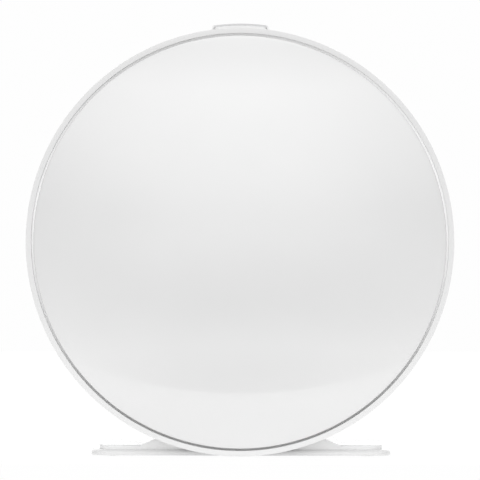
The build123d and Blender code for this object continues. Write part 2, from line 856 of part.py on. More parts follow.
def surround():
    """The rubber half roll between the cone's edge and the basket."""
    middle = cone_outer_radius + roll_width / 2
    base = flange_rear
    outer = CenterArc((middle, base), roll_width / 2, 0, 180)
    inner = CenterArc((middle, base), roll_width / 2 - roll_thickness, 0, 180)
    left = Line((middle - roll_width / 2, base), (middle - roll_width / 2 + roll_thickness, base))
    right = Line((middle + roll_width / 2 - roll_thickness, base), (middle + roll_width / 2, base))
    roll = revolve(make_face(outer + inner + left + right), Axis.Y)
    land = tube(middle + roll_width / 2 - roll_thickness, driver_radius - 0.5, base, base + roll_thickness)
    return roll + land


def spider():
    """The corrugated cloth disc that centres the coil."""
    inner = coil_radius
    waves = 3
    pitch = (spider_outer - 1.2 - inner) / waves
    top = [(inner, spider_depth)]
    for i in range(waves):
        top.append((inner + pitch * (i + 0.25), spider_depth + 0.5))
        top.append((inner + pitch * (i + 0.75), spider_depth))
    top.append((spider_outer, spider_depth))
    bottom = [(r, d + cloth_thickness) for r, d in reversed(top)]
    return turned(*top, *bottom)


def driver_screws():
    points = round_the_disc(driver_screw_count, driver_screw_radius)
    length = basket_wall + driver_seal + baffle_thickness + 1
    return group([screw(x, z, flange_rear + screw_head_height, length, towards=-1) for x, z in points])


# ---- The press bar and what lies under it --------------------------------------------------------------


def key_block(end_margin, depth_margin):
    """The press bar's block: tapered ends above the shell, rounded corners from above."""
    foot = key_foot_width / 2 - end_margin
    top = key_top_width / 2 - end_margin
    bend = disc_radius - housing_wall / 2
    outline = Polyline(
        (-foot, disc_radius - 12),
        (foot, disc_radius - 12),
        (foot, bend),
        (top, disc_radius + key_proud),
        (top, disc_radius + 2 * key_proud),
        (-top, disc_radius + 2 * key_proud),
        (-top, disc_radius + key_proud),
        (-foot, bend),
        close=True,
    )
    block = slab(make_face(outline), key_front + depth_margin, key_back - depth_margin)
    footprint = Pos(0, key_middle) * RectangleRounded(2 * foot, key_depth - 2 * depth_margin, key_corner)
    return block & plate(footprint, disc_radius - 12, disc_radius + 2 * key_proud)


def key_top_form():
    """The curved top of the press bar, which follows the body."""
    return body_form(key_proud)


def key_cap():
    """The white key under the soft pad: hollow, with a retaining flange and two posts."""
    outer = key_block(key_pad_thickness, 0) & body_form(key_proud - key_pad_thickness)
    ceiling = body_form(key_proud - key_pad_thickness - key_wall)
    hollow = key_block(key_pad_thickness + key_wall, key_wall) & ceiling
    flange_top = body_form(-housing_wall - seat_gap)
    flange_low = body_form(-housing_wall - seat_gap - key_wall)
    cap = outer - flange_low - hollow
    cap += (plate(key_opening(key_flange), disc_radius - 12, disc_radius) & flange_top) - flange_low - hollow
    for x, d in key_post_points():
        post = plate(Pos(x, d) * Circle(key_post_radius), dome_spring_top, disc_radius + key_proud)
        cap += post & ceiling
    return cap


def key_pad():
    """The soft pad over the top and the ends of the press bar."""
    pad = key_block(0, 0) & key_top_form()
    core = key_block(key_pad_thickness, -1) & body_form(key_proud - key_pad_thickness)
    return pad - core - body_form(-housing_wall / 2)


def key_post_points():
    return [(side * key_post_spacing / 2, key_middle) for side in (-1, 1)]


def key_springs():
    """The silicone domes that lift the press bar again."""
    neck = key_post_radius + dome_spring_wall
    outline = Polyline(
        (dome_spring_radius, key_board_top),
        (dome_spring_radius, key_board_top + dome_spring_wall),
        (neck, dome_spring_top - dome_spring_wall),
        (neck, dome_spring_top),
        (0, dome_spring_top),
        (0, dome_spring_top - dome_spring_wall),
        (key_post_radius, dome_spring_top - dome_spring_wall),
        (dome_spring_radius - dome_spring_wall, key_board_top),
        close=True,
    )
    dome = revolve(make_face(Plane.XZ * outline), Axis.Z)
    return group([Pos(x, d, 0) * dome for x, d in key_post_points()])


def key_switches():
    """The two push switches on the key board, each under its silicone dome."""
    body_top = key_board_top + push_switch_height
    plunger_top = dome_spring_top - dome_spring_wall - key_travel  # met at the end of the press
    switches = []
    for x, d in key_post_points():
        body = plate(Pos(x, d) * Rectangle(push_switch_size, push_switch_size), key_board_top, body_top)
        switches.append(body + plate(Pos(x, d) * Circle(plunger_radius), body_top, plunger_top))
    return group(switches)


def key_board():
    outline = Pos(0, key_middle) * RectangleRounded(key_board_width, key_board_depth, 1)
    return plate(outline, bracket_top, key_board_top)


def bracket_screw_points():
    level = bracket_top - bracket_flange / 2 - bracket_wall / 2
    return [(side * (bracket_width / 2 - 5), level) for side in (-1, 1)]


def mic_pedestal(angle):
    """The slanted block under one microphone board."""
    height = mic_board_radius - bracket_top + 4
    block = Pos(0, key_middle, mic_board_radius - height / 2) * Box(bracket_lug, bracket_lug, height)
    return Rot(0, angle, 0) * block


def top_bracket():
    """The angle bracket behind the front frame: a table for the key board and two microphone pedestals."""
    low = bracket_top - bracket_wall
    depth = bracket_depth - frame_back
    table = plate(Pos(0, frame_back + depth / 2) * Rectangle(bracket_width, depth), low, bracket_top)
    flange = Pos(0, low - bracket_flange / 2 + bracket_wall) * Rectangle(bracket_width, bracket_flange)
    bracket = table + slab(flange, frame_back, frame_back + bracket_wall)
    for side in (-1, 1):
        foot = (frame_back + bracket_wall, low - bracket_flange + bracket_wall * 1.5)
        web = make_face(Polyline((frame_back, low), (bracket_depth - 2, low), foot, (frame_back, foot[1]), close=True))
        web = extrude(Plane.YZ * web, bracket_wall / 2, both=True)
        bracket += Pos(side * bracket_width / 4, 0, 0) * web
    bracket += [mic_pedestal(angle) for angle in (-mic_angle, mic_angle)]
    return bracket - rods(bracket_screw_points(), screw_radius + slip_gap, frame_back - 1, frame_back + 3)


def each_mic(shape):
    """One piece at each microphone, from one drawn under the top of the disc."""
    return group([Rot(0, angle, 0) * shape for angle in (-mic_angle, mic_angle)])


def mic_boards():
    middle = mic_board_radius + mic_board_thickness / 2
    return each_mic(Pos(0, key_middle, middle) * Box(bracket_lug, bracket_lug, mic_board_thickness))


def mic_capsules():
    middle = mic_board_radius + mic_board_thickness + mic_capsule_height / 2
    return each_mic(Pos(0, key_middle, middle) * Box(mic_capsule_width, mic_capsule_depth, mic_capsule_height))


def mic_boots():
    """Soft tubes that lead the sound from the ports to the capsules."""
    low = mic_board_radius + mic_board_thickness + mic_capsule_height
    boot = Circle(mic_boot_radius) - Circle(mic_hole_radius + slip_gap)
    tube_up = plate(Pos(0, key_middle) * boot, low, disc_radius)
    return each_mic(tube_up & body_form(-housing_wall - running_gap))


# ---- The electronics -----------------------------------------------------------------------------------


def main_board_outline():
    """A crescent between two arcs, over the loudspeaker box."""
    first = 90 - main_board_angle / 2
    ring = Circle(main_board_outer) - Circle(main_board_inner)
    a = polar(3 * main_board_outer, first)
    b = polar(3 * main_board_outer, first + main_board_angle)
    return ring & make_face(Polyline((0, 0), a, (a[0], a[0]), (b[0], a[0]), b, close=True))


def main_screw_points():
    return [polar(main_screw_radius, angle) for angle in main_screw_angles]


def main_board():
    board = slab(main_board_outline(), main_board_depth, main_board_rear)
    return board - rods(main_screw_points(), screw_radius + slip_gap, main_board_depth - 1, main_board_rear + 1)


def on_board(angle, shape, height, above=0.0):
    """A block on the main board's back, turned to lie along the crescent."""
    x, z = polar(main_board_middle, angle)
    foot = main_board_rear + above
    return slab(Pos(x, z) * Rot(0, 0, angle - 90) * shape, foot, foot + height)


def shield_can():
    """The pressed lid over the processor."""
    can = on_board(90, RectangleRounded(can_width, can_share * main_board_width, board_edge / 2), can_height)
    return fillet(can.faces().sort_by(Axis.Y)[-1].edges(), can_height / 5)


def wireless_module():
    depth = module_share * main_board_width
    board = on_board(module_angle, Rectangle(module_width, depth), module_board)
    lid = Rectangle(module_width - 2 * board_edge, 0.8 * depth)
    return board + on_board(module_angle, lid, module_height, above=module_board)


def heat_spreader():
    """The finned block on the amplifier."""
    depth = spreader_share * main_board_width
    block = on_board(spreader_angle, Rectangle(spreader_width, depth), spreader_base)
    pitch = (spreader_width - fin_thickness) / (fin_count - 1)
    for i in range(fin_count):
        fin = Pos((i - (fin_count - 1) / 2) * pitch, 0) * Rectangle(fin_thickness, depth)
        block += on_board(spreader_angle, fin, spreader_height - spreader_base, above=spreader_base)
    return block


def board_connectors():
    """Sockets for the ribbons and the speaker leads."""
    socket = Rectangle(connector_width, connector_depth)
    return group([on_board(angle, socket, connector_height) for angle in connector_angles])


def antennas():
    """Two printed strips on the front frame's outer ring."""
    strip = Rectangle(antenna_width, antenna_length)
    strips = []
    for angle in antenna_angles:
        x, z = polar(main_board_outer, angle)
        strips.append(slab(Pos(x, z) * Rot(0, 0, angle) * strip, frame_back, frame_back + antenna_thickness))
    return group(strips)


# ---- The controls on the back --------------------------------------------------------------------------


def volume_rocker():
    """The two-way rocker: a flat cap with a pivot block and a nose over each switch."""
    cap_back = body_depth + rocker_proud
    cap = slab(
        Pos(rocker_x, control_height) * RectangleRounded(rocker_width, rocker_height, 1.2),
        cover_seat - 0.2,
        cap_back,
    )
    cap = fillet(cap.faces().sort_by(Axis.Y)[-1].edges(), 0.4)
    pivot_front = rocker_pivot_depth - ear_width / 2
    cap += slab(Pos(rocker_x, control_height) * Rectangle(ear_width, rocker_height - 1), pivot_front, cover_seat)
    swing = switch_spacing / 2 * math.sin(math.radians(rocker_tilt))
    nose_front = switch_top + swing + 0.08
    for side in (-1, 1):
        nose = Pos(rocker_x + side * switch_spacing / 2, control_height) * Circle(1.5)
        cap += slab(nose, nose_front, cover_seat)
    bore = Pos(rocker_x, rocker_pivot_depth, control_height) * Cylinder(rocker_pin_radius, 2 * rocker_height)
    return cap - bore


def rocker_pin():
    """The steel pin pressed into the rocker, which turns in the cover's ears."""
    length = rocker_height + 2 * rocker_gap + 2 * ear_wall - 0.4
    return Pos(rocker_x, rocker_pivot_depth, control_height) * Cylinder(rocker_pin_radius, length)


def control_switches():
    """The two push switches under the rocker."""
    switches = []
    for side in (-1, 1):
        spot = Pos(rocker_x + side * switch_spacing / 2, control_height)
        body = slab(spot * Rectangle(switch_size, switch_size), control_board_rear, control_board_rear + switch_height)
        stem = slab(spot * Circle(1.2), control_board_rear + switch_height, switch_top)
        switches.append(body + stem)
    return group(switches)


def mute_rest_x():
    """The slider's middle at rest, at the left end of its travel as seen from the front."""
    return mute_x - mute_travel / 2


def mute_slider():
    """The sliding cap: a knob in the cover's slot, a guide plate behind it and a fork over the lever."""
    x = mute_rest_x()
    face = cover_seat - mute_gap
    knob = slab(Pos(x, control_height) * RectangleRounded(mute_knob, mute_knob, 0.8), face, body_depth + mute_proud)
    knob = fillet(knob.faces().sort_by(Axis.Y)[-1].edges(), 0.4)
    guide = Rectangle(mute_knob + mute_travel + 4, mute_knob + 2.4)
    slider = knob + slab(Pos(x, control_height) * guide, face - mute_plate, face)
    fork = Rectangle(4.4, 4.0) - Rectangle(mute_lever_width, 5.0)
    return slider + slab(Pos(x, control_height) * fork, lever_back - 1.6, face - mute_plate)


def mute_lever():
    """The lever of the slide switch, which the fork carries along."""
    x = mute_rest_x()
    lever = slab(Pos(x, control_height) * Rectangle(mute_lever_width, 1.8), control_board_rear + 1.2, lever_back)
    return lever


def mute_switch():
    """The slide switch's metal case, open along the lever's travel."""
    top = control_board_rear + mute_case_depth
    case = slab(Pos(mute_x, control_height) * Rectangle(mute_case_width, mute_case_height), control_board_rear, top)
    slot = Rectangle(mute_travel + mute_lever_width + 1, 2.4)
    return case - slab(Pos(mute_x, control_height) * slot, control_board_rear + 0.9, top + 1)


def control_board():
    outline = Pos(control_board_x, control_height) * Rectangle(control_board_width, control_board_height)
    outline &= Circle(shelf_radius - seat_gap)
    board = slab(outline, control_board_depth, control_board_rear)
    return board - rods(control_post_points(), screw_radius + slip_gap, control_board_depth - 1, control_board_rear + 1)


def inlet_board():
    outline = Pos(0, inlet_height) * Rectangle(inlet_board_width, inlet_board_height)
    board = slab(outline, control_board_depth, control_board_rear)
    return board - rods(inlet_post_points(), screw_radius + slip_gap, control_board_depth - 1, control_board_rear + 1)


def board_screws():
    """The screws of all the boards and of the bracket: into the frame from behind, into the cover from before."""
    shank = board_thickness + screw_length / 2 - 0.4
    front = control_board_depth - screw_head_height
    screws = [screw(x, z, front, shank) for x, z in control_post_points() + inlet_post_points()]
    shank = main_board_rear - frame_back - 0.5
    rear = main_board_rear + screw_head_height
    screws += [screw(x, z, rear, shank, towards=-1) for x, z in main_screw_points()]
    shank = bracket_wall + frame_plate - slip_gap
    rear = frame_back + bracket_wall + screw_head_height
    screws += [screw(x, z, rear, shank, towards=-1) for x, z in bracket_screw_points()]
    return group(screws)


def power_inlet():
    """The round power socket with its contact pin."""
    mouth = body_depth
    case = slab(Pos(0, inlet_height) * Rectangle(9.4, 11), control_board_rear, cover_seat - seat_gap)
    collar = slab(Pos(0, inlet_height) * Circle(inlet_collar_radius), cover_seat - seat_gap, mouth)
    bore = slab(Pos(0, inlet_height) * Circle(inlet_bore_radius), mouth - inlet_bore_depth, mouth + 1)
    pin = slab(Pos(0, inlet_height) * Circle(inlet_pin_radius), mouth - inlet_bore_depth, mouth - 1)
    return case + collar - bore + pin


def control_ribbon():
    """The flat cable from the main board's socket back to the control board."""
    x, socket_height = polar(main_board_middle, ribbon_angle)
    start = main_board_rear + connector_height
    middle = (start + control_board_depth) / 2
    board_end = control_height + control_board_height / 4
    path = [(start, socket_height), (middle, socket_height - 1), (control_board_depth, board_end)]
    back = [(depth, height + ribbon_thickness) for depth, height in reversed(path)]
    band = make_face(Plane.YZ * Polyline(*path, *back, close=True))
    return Pos(x, 0, 0) * extrude(band, ribbon_width / 2, both=True)


# ---- The stand -----------------------------------------------------------------------------------------


def stand_outline(inset, front_inset):
    """The stand's rounded rectangle from above, drawn in x and depth."""
    front, back = stand_front + front_inset, stand_back - inset
    outline = RectangleRounded(stand_width - 2 * inset, back - front, stand_corner - inset / 2)
    return Pos(0, (front + back) / 2) * outline


def floor_plate(shape, low, high):
    """A flat shape drawn in x and depth, between two heights above the floor."""
    return plate(shape, low - disc_centre_z, high - disc_centre_z)


def stand_screw_points():
    return [(side * stand_screw_spacing / 2, stand_screw_depth) for side in (-1, 1)]


def foot_points():
    x = stand_width / 2 - foot_inset
    return [(sx * x, d) for sx in (-1, 1) for d in (stand_front + foot_inset, stand_back - foot_inset)]


def tray_screw_points():
    x = stand_width / 2 - foot_inset
    middle = (stand_front + stand_back) / 2
    return [(-x, middle), (x, middle)]


def stand_tray():
    """The lower layer: a shallow pan with rounded edges, pockets for the feet and room for the weight."""
    top = foot_gap + tray_height
    tray = floor_plate(stand_outline(0, 0), foot_gap, top)
    tray = fillet(tray.faces().sort_by(Axis.Z)[-1].edges(), stand_edge_round)
    pocket = stand_outline(weight_inset - slip_gap, weight_inset - slip_gap)
    tray -= floor_plate(pocket, foot_gap + tray_wall, top + 1)
    for x, d in tray_screw_points():
        tray += floor_plate(Pos(x, d) * Circle(tray_boss_radius), foot_gap + tray_wall / 2, top)
    for x, d in foot_points():
        tray -= floor_plate(Pos(x, d) * Circle(foot_radius + slip_gap), foot_gap - 1, foot_height)
    for x, d in stand_screw_points():
        tray -= floor_plate(Pos(x, d) * Circle(stand_screw_head + slip_gap), foot_gap - 1, top + 1)
    for x, d in tray_screw_points():
        tray -= floor_plate(Pos(x, d) * Circle(screw_radius + slip_gap), foot_gap - 1, top + 1)
        tray -= floor_plate(Pos(x, d) * Circle(screw_head_radius + slip_gap), foot_gap - 1, tray_screw_seat)
    return tray


def stand_weight():
    """The steel plate that keeps the stand down."""
    low = foot_gap + tray_wall
    weight = floor_plate(stand_outline(weight_inset, weight_inset), low, foot_gap + tray_height)
    for x, d in stand_screw_points():
        weight -= floor_plate(Pos(x, d) * Circle(stand_screw_head + slip_gap), low - 1, low + tray_height)
    for x, d in tray_screw_points():
        weight -= floor_plate(Pos(x, d) * Circle(tray_boss_radius + slip_gap), low - 1, low + tray_height)
    return weight


def saddle_form():
    """Ramps and heel of the cradle, before the body is cut out of it. Their front is flush with the plinth's."""
    low = foot_gap + tray_height - disc_centre_z
    top = plinth_top - disc_centre_z
    crest = ramp_start - (heel_height - plinth_top) / ramp_slope
    heel = heel_height - disc_centre_z
    side = [(-crest, heel), (-ramp_start, top), (-ramp_start, low), (ramp_start, low), (ramp_start, top), (crest, heel)]
    ramps = slab(make_face(Polyline(*side, close=True)), plinth_front, stand_back)
    front_top = top + (ramp_start - ramp_contact()) * ramp_slope + 1
    back = stand_back - stand_step - plinth_edge_round
    profile = Polyline(
        (plinth_front, low),
        (plinth_front, front_top),
        (heel_depth, heel),
        (heel_depth + heel_land, heel),
        (back, top),
        (back, low),
        close=True,
    )
    return ramps & extrude(make_face(Plane.YZ * profile), stand_width / 2, both=True)


def ramp_contact():
    """Where, across the stand, a ramp meets the round body."""
    x = ramp_start
    for _ in range(20):
        body = disc_centre_z - math.sqrt(disc_radius**2 - x**2)
        ramp = plinth_top + (ramp_start - x) * ramp_slope
        x -= (body - ramp) / 2
    return x


def stand_saddle():
    """The upper layer with the cradle that the body sits in."""
    low = foot_gap + tray_height
    plinth = floor_plate(stand_outline(stand_step, stand_edge_round), low, plinth_top)
    plinth = fillet(plinth.faces().sort_by(Axis.Z)[-1].edges(), plinth_edge_round)
    saddle = plinth + saddle_form()
    saddle -= body_form(seat_gap) & above(notch_height)
    for x, d in stand_screw_points():
        saddle -= floor_plate(Pos(x, d) * Circle(stand_screw_radius + slip_gap), low - 1, plinth_top + 1)
    for x, d in tray_screw_points():
        saddle -= floor_plate(Pos(x, d) * Circle(screw_radius), low - 1, plinth_top - 1)
    return saddle


def stand_feet():
    return group([floor_plate(Pos(x, d) * Circle(foot_radius), 0, foot_height) for x, d in foot_points()])


def standing_screw(x, depth, seat, length, radius, head_radius, head_height):
    """A screw driven upwards from under the stand, with its head below the seat."""
    head = floor_plate(Pos(x, depth) * Circle(head_radius), seat - head_height, seat)
    drive = floor_plate(Pos(x, depth) * Circle(head_radius / 2.4), seat - head_height, seat - head_height / 2)
    return head - drive + floor_plate(Pos(x, depth) * Circle(radius), seat, seat + length)


def stand_screws():
    """The two screws through the saddle into the housing."""
    seat = foot_gap + tray_height
    length = plinth_height + stand_boss_height - 2 * housing_wall / 2
    return group(
        [
            standing_screw(x, d, seat, length, stand_screw_radius, stand_screw_head, tray_height - 0.6)
            for x, d in stand_screw_points()
        ]
    )


def tray_screws():
    length = plinth_top - 1.2 - tray_screw_seat
    return group(
        [
            standing_screw(x, d, tray_screw_seat, length, screw_radius, screw_head_radius, screw_head_height)
            for x, d in tray_screw_points()
        ]
    )


# ---- All pieces ----------------------------------------------------------------------------------------


def main():
    pieces = {
        "front_dome": front_dome(),
        "rim_ring": rim_ring(),
        "light_guide_ring": light_guide_ring(),
        "light_ring_board": light_ring_board(),
        "light_ring_lamps": light_ring_lamps(),
        "front_frame": front_frame(),
        "frame_screws": frame_screws(),
        "rear_housing": rear_housing(),
        "rear_cover": rear_cover(),
        "rear_cover_screws": rear_cover_screws(),
        "acoustic_cloth": acoustic_cloth(),
        "speaker_box": speaker_box(),
        "box_gasket": box_gasket(),
        "driver_baffle": driver_baffle(),
        "box_screws": box_screws(),
        "driver_gasket": driver_gasket(),
        "driver_basket": driver_basket(),
        "magnet_cup": magnet_cup(),
        "driver_magnet": driver_magnet(),
        "pole_plate": pole_plate(),
        "voice_coil": voice_coil(),
        "cone": cone(),
        "dust_cap": dust_cap(),
        "surround": surround(),
        "spider": spider(),
        "driver_screws": driver_screws(),
        "key_cap": key_cap(),
        "key_pad": key_pad(),
        "key_springs": key_springs(),
        "key_switches": key_switches(),
        "key_board": key_board(),
        "top_bracket": top_bracket(),
        "mic_boards": mic_boards(),
        "mic_capsules": mic_capsules(),
        "mic_boots": mic_boots(),
        "main_board": main_board(),
        "shield_can": shield_can(),
        "wireless_module": wireless_module(),
        "heat_spreader": heat_spreader(),
        "board_connectors": board_connectors(),
        "antennas": antennas(),
        "volume_rocker": volume_rocker(),
        "rocker_pin": rocker_pin(),
        "control_switches": control_switches(),
        "mute_slider": mute_slider(),
        "mute_lever": mute_lever(),
        "mute_switch": mute_switch(),
        "control_board": control_board(),
        "inlet_board": inlet_board(),
        "board_screws": board_screws(),
        "power_inlet": power_inlet(),
        "control_ribbon": control_ribbon(),
        "stand_tray": stand_tray(),
        "stand_saddle": stand_saddle(),
        "stand_weight": stand_weight(),
        "stand_feet": stand_feet(),
        "stand_screws": stand_screws(),
        "tray_screws": tray_screws(),
    }
    os.makedirs("parts", exist_ok=True)
    for name, shape in pieces.items():
        export_step(on_disc(shape), f"parts/{name}.step")


main()
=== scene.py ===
# %% [markdown]
# # A round table-top smart speaker
# The speaker is a disc with a glossy domed front, a slim light ring round the dome, a press bar on top and a
# low stand with two ramps that cradle the disc. The solid model comes in first as a fixed frame: every
# object is in metres, +Z is up and the dome faces -Y. What is made here either dresses one of its solids
# with a finish, or stands in for it with a rounder, finer mesh.

# %% The frame
import json
import math

import bmesh
import bpy
from mathutils import Matrix, Vector


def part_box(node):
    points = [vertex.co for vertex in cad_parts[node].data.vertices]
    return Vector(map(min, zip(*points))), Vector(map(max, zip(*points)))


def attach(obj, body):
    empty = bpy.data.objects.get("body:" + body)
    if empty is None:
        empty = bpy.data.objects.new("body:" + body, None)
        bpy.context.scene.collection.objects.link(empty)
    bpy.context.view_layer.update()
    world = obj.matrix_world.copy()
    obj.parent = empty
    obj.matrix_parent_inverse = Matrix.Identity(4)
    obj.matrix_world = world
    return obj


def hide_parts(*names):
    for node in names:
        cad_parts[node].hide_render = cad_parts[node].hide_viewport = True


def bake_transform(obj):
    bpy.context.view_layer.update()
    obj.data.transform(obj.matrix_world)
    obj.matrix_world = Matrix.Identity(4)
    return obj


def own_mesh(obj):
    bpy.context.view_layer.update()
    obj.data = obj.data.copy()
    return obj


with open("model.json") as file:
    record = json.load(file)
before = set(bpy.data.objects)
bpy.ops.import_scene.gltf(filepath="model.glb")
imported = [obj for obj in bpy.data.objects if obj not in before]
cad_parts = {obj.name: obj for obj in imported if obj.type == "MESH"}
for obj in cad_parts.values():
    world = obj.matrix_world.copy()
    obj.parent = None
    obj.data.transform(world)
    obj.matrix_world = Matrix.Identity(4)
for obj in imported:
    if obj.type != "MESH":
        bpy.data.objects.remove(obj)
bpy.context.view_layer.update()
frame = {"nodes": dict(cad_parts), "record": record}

# %% [markdown]
# The ring round the dome gives the sizes that everything else on the disc hangs on. Its box tells where the
# disc's axis is, how large the disc is and where its front lies. Reading them beats typing them again: when
# the solid model changes, the scene follows.

# %% Where the disc is
ring_low, ring_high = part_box("rim_ring")
disc_radius = (ring_high.x - ring_low.x) / 2
disc_centre = Vector((0, ring_low.y, (ring_low.z + ring_high.z) / 2))
print(f"disc radius {disc_radius * 1000:.1f} mm, centre {disc_centre.z * 1000:.1f} mm above the floor")

# %% [markdown]
# ## Camera
# A product shot straight on to the front, from far away with a long lens, so that the disc stays a true
# circle. The camera stands level with the disc's centre and a touch to its right, which lets the press bar
# and the stand, both further back than the ring, drift to the right by a hair. A shift of the lens, and not
# a turn of the camera, sets where the disc lands in the frame.

# %% Camera
camera_distance = 1.6
camera_turn = math.radians(1.6)
focal_length = 233.9  # mm
lens_shift = (0.0010, 0.0043)
camera_data = bpy.data.cameras.new("long_lens")
camera_data.lens = focal_length
camera_data.shift_x, camera_data.shift_y = lens_shift
camera = bpy.data.objects.new("camera", camera_data)
bpy.context.scene.collection.objects.link(camera)
stand_off = Vector((math.sin(camera_turn), -math.cos(camera_turn), 0)) * camera_distance
camera.location = disc_centre + stand_off
camera.rotation_euler = (disc_centre - camera.location).to_track_quat("-Z", "Y").to_euler()
bpy.context.scene.camera = camera
print("camera at", [round(v, 4) for v in camera.location])

# %% [markdown]
# ## Light
# White plastic on white needs light that falls off gently, or it turns into a flat paper cut-out. Lamps
# would work, but each one shows as a shape in the gloss of the dome. A studio tent is kinder: light from
# everywhere, with nothing in it that has an edge. Here it is built of two parts that change only with the
# height of a direction. The dim ring at eye level and the bright roof are the tent itself. The side panels
# are brightest ahead of and behind the speaker and fade to nothing at its left and right, which rounds the
# disc. Camera rays see plain white instead, so the backdrop costs no light on the object.

# %% World
world = bpy.data.worlds.new("studio_tent")
bpy.context.scene.world = world
world.use_nodes = True
tent = world.node_tree
tent.nodes.clear()


def add_node(tree, kind, **settings):
    """A shader node with its properties set."""
    node = tree.nodes.new(kind)
    for key, value in settings.items():
        setattr(node, key, value)
    return node


def set_ramp(ramp, stops):
    """Fills a colour ramp from (position, colour) pairs, where a plain number is a grey."""
    elements = ramp.color_ramp.elements
    while len(elements) > 1:
        elements.remove(elements[-1])
    for i, (position, colour) in enumerate(stops):
        element = elements[0] if i == 0 else elements.new(position)
        element.position = position
        element.color = (colour, colour, colour, 1) if isinstance(colour, (int, float)) else (*colour, 1)


# Height of a direction, from straight down at 0 to straight up at 1, and the brightness there.
tent_heights = (0, 0.125, 0.25, 0.35, 0.425, 0.5, 0.575, 0.65, 0.75, 0.85, 0.925, 1)
roof_levels = (0, 0, 0.494, 0.475, 0.342, 0.177, 0.051, 0.175, 0.442, 0.518, 0.321, 1)
panel_levels = (0, 0.066, 0.242, 0, 0.207, 0.54, 0.701, 0.728, 0.502, 0.454, 0.116, 0)
tent_strength = 1.79
seen_white = (0.99, 0.99, 0.99, 1)  # of the backdrop and the table, as the camera sees them
direction = add_node(tent, "ShaderNodeTexCoord")
split = add_node(tent, "ShaderNodeSeparateXYZ")
height = add_node(tent, "ShaderNodeMapRange")
height.inputs["From Min"].default_value = -1
roof = add_node(tent, "ShaderNodeValToRGB")
set_ramp(roof, zip(tent_heights, roof_levels))
panels = add_node(tent, "ShaderNodeValToRGB")
set_ramp(panels, zip(tent_heights, panel_levels))
# The share of the horizontal part that points ahead or behind: y squared over x squared plus y squared.
x_squared = add_node(tent, "ShaderNodeMath", operation="POWER")
y_squared = add_node(tent, "ShaderNodeMath", operation="POWER")
for square in (x_squared, y_squared):
    square.inputs[1].default_value = 2
across = add_node(tent, "ShaderNodeMath", operation="ADD")
ahead = add_node(tent, "ShaderNodeMath", operation="DIVIDE")
panel_light = add_node(tent, "ShaderNodeVectorMath", operation="SCALE")
all_light = add_node(tent, "ShaderNodeVectorMath", operation="ADD")
glow = add_node(tent, "ShaderNodeBackground")
glow.inputs["Strength"].default_value = tent_strength
backdrop = add_node(tent, "ShaderNodeBackground")
backdrop.inputs["Color"].default_value = seen_white
rays = add_node(tent, "ShaderNodeLightPath")
choose = add_node(tent, "ShaderNodeMixShader")
world_out = add_node(tent, "ShaderNodeOutputWorld")
for a, b in (
    (direction.outputs["Generated"], split.inputs["Vector"]),
    (split.outputs["Z"], height.inputs["Value"]),
    (height.outputs["Result"], roof.inputs["Fac"]),
    (height.outputs["Result"], panels.inputs["Fac"]),
    (split.outputs["X"], x_squared.inputs[0]),
    (split.outputs["Y"], y_squared.inputs[0]),
    (x_squared.outputs["Value"], across.inputs[0]),
    (y_squared.outputs["Value"], across.inputs[1]),
    (y_squared.outputs["Value"], ahead.inputs[0]),
    (across.outputs["Value"], ahead.inputs[1]),
    (panels.outputs["Color"], panel_light.inputs["Vector"]),
    (ahead.outputs["Value"], panel_light.inputs["Scale"]),
    (roof.outputs["Color"], all_light.inputs[0]),
    (panel_light.outputs["Vector"], all_light.inputs[1]),
    (all_light.outputs["Vector"], glow.inputs["Color"]),
    (rays.outputs["Is Camera Ray"], choose.inputs["Fac"]),
    (glow.outputs["Background"], choose.inputs[1]),
    (backdrop.outputs["Background"], choose.inputs[2]),
    (choose.outputs["Shader"], world_out.inputs["Surface"]),
):
    tent.links.new(a, b)
bpy.context.scene.view_settings.view_transform = "Standard"
print("studio tent with two parts, set at", len(tent_heights), "heights")

# %% [markdown]
# ## Helpers for meshes
# Round things are turned, as on a lathe: a small section is drawn once and spun about the disc's axis. The
# spin gives as many sides as the outline needs to look round, which the solid model's mesh doesn't have.
# Smooth shading hides the sides that are left, and edges sharper than a set angle stay crisp.

# %% Mesh helpers
turn_steps = 288
crisp_angle = math.radians(32)
soft_crisp_angle = math.radians(50)
dome_crisp_angle = math.radians(60)
merge_distance = 1e-6


def as_piece(name, bm, node, body, crisp=crisp_angle):
    """Turns a bmesh into a shaded object that stands for a solid and rides on a body, if it has one."""
    mesh = bpy.data.meshes.new(name)
    bm.to_mesh(mesh)
    bm.free()
    mesh.shade_smooth()
    mesh.set_sharp_from_angle(angle=crisp)
    piece = bpy.data.objects.new(name, mesh)
    bpy.context.scene.collection.objects.link(piece)
    if body:
        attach(piece, body)
    if node:
        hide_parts(node)
    print(f"{name}: {len(mesh.vertices)} points, {len(mesh.polygons)} faces")
    return piece


def spin_round(bm, steps=turn_steps):
    """Spins the section in the bmesh once round the disc's axis and moves it to the disc."""
    section = bm.verts[:] + bm.edges[:]
    bmesh.ops.spin(
        bm, geom=section, cent=(0, 0, 0), axis=(0, 1, 0), angle=math.tau, steps=steps, use_merge=True
    )
    bmesh.ops.remove_doubles(bm, verts=bm.verts, dist=merge_distance)
    bmesh.ops.recalc_face_normals(bm, faces=bm.faces)


def section_line(corners, closed=False):
    """A bmesh with a line through (radius, depth) corners."""
    bm = bmesh.new()
    points = [bm.verts.new((radius, depth, 0)) for radius, depth in corners]
    for a, b in zip(points, points[1:] + points[:1] if closed else points[1:]):
        bm.edges.new((a, b))
    return bm


def round_hoop(bm, radius, depth, size, segments=4):
    """Rounds the circular edge at a radius and a depth."""
    near = 1e-5

    def on_hoop(point):
        return abs(math.hypot(point.x, point.z) - radius) < near and abs(point.y - depth) < near

    hoop = [edge for edge in bm.edges if all(on_hoop(v.co) for v in edge.verts)]
    bmesh.ops.bevel(
        bm, geom=hoop, offset=size, segments=segments, profile=0.5, affect="EDGES", material=-1
    )


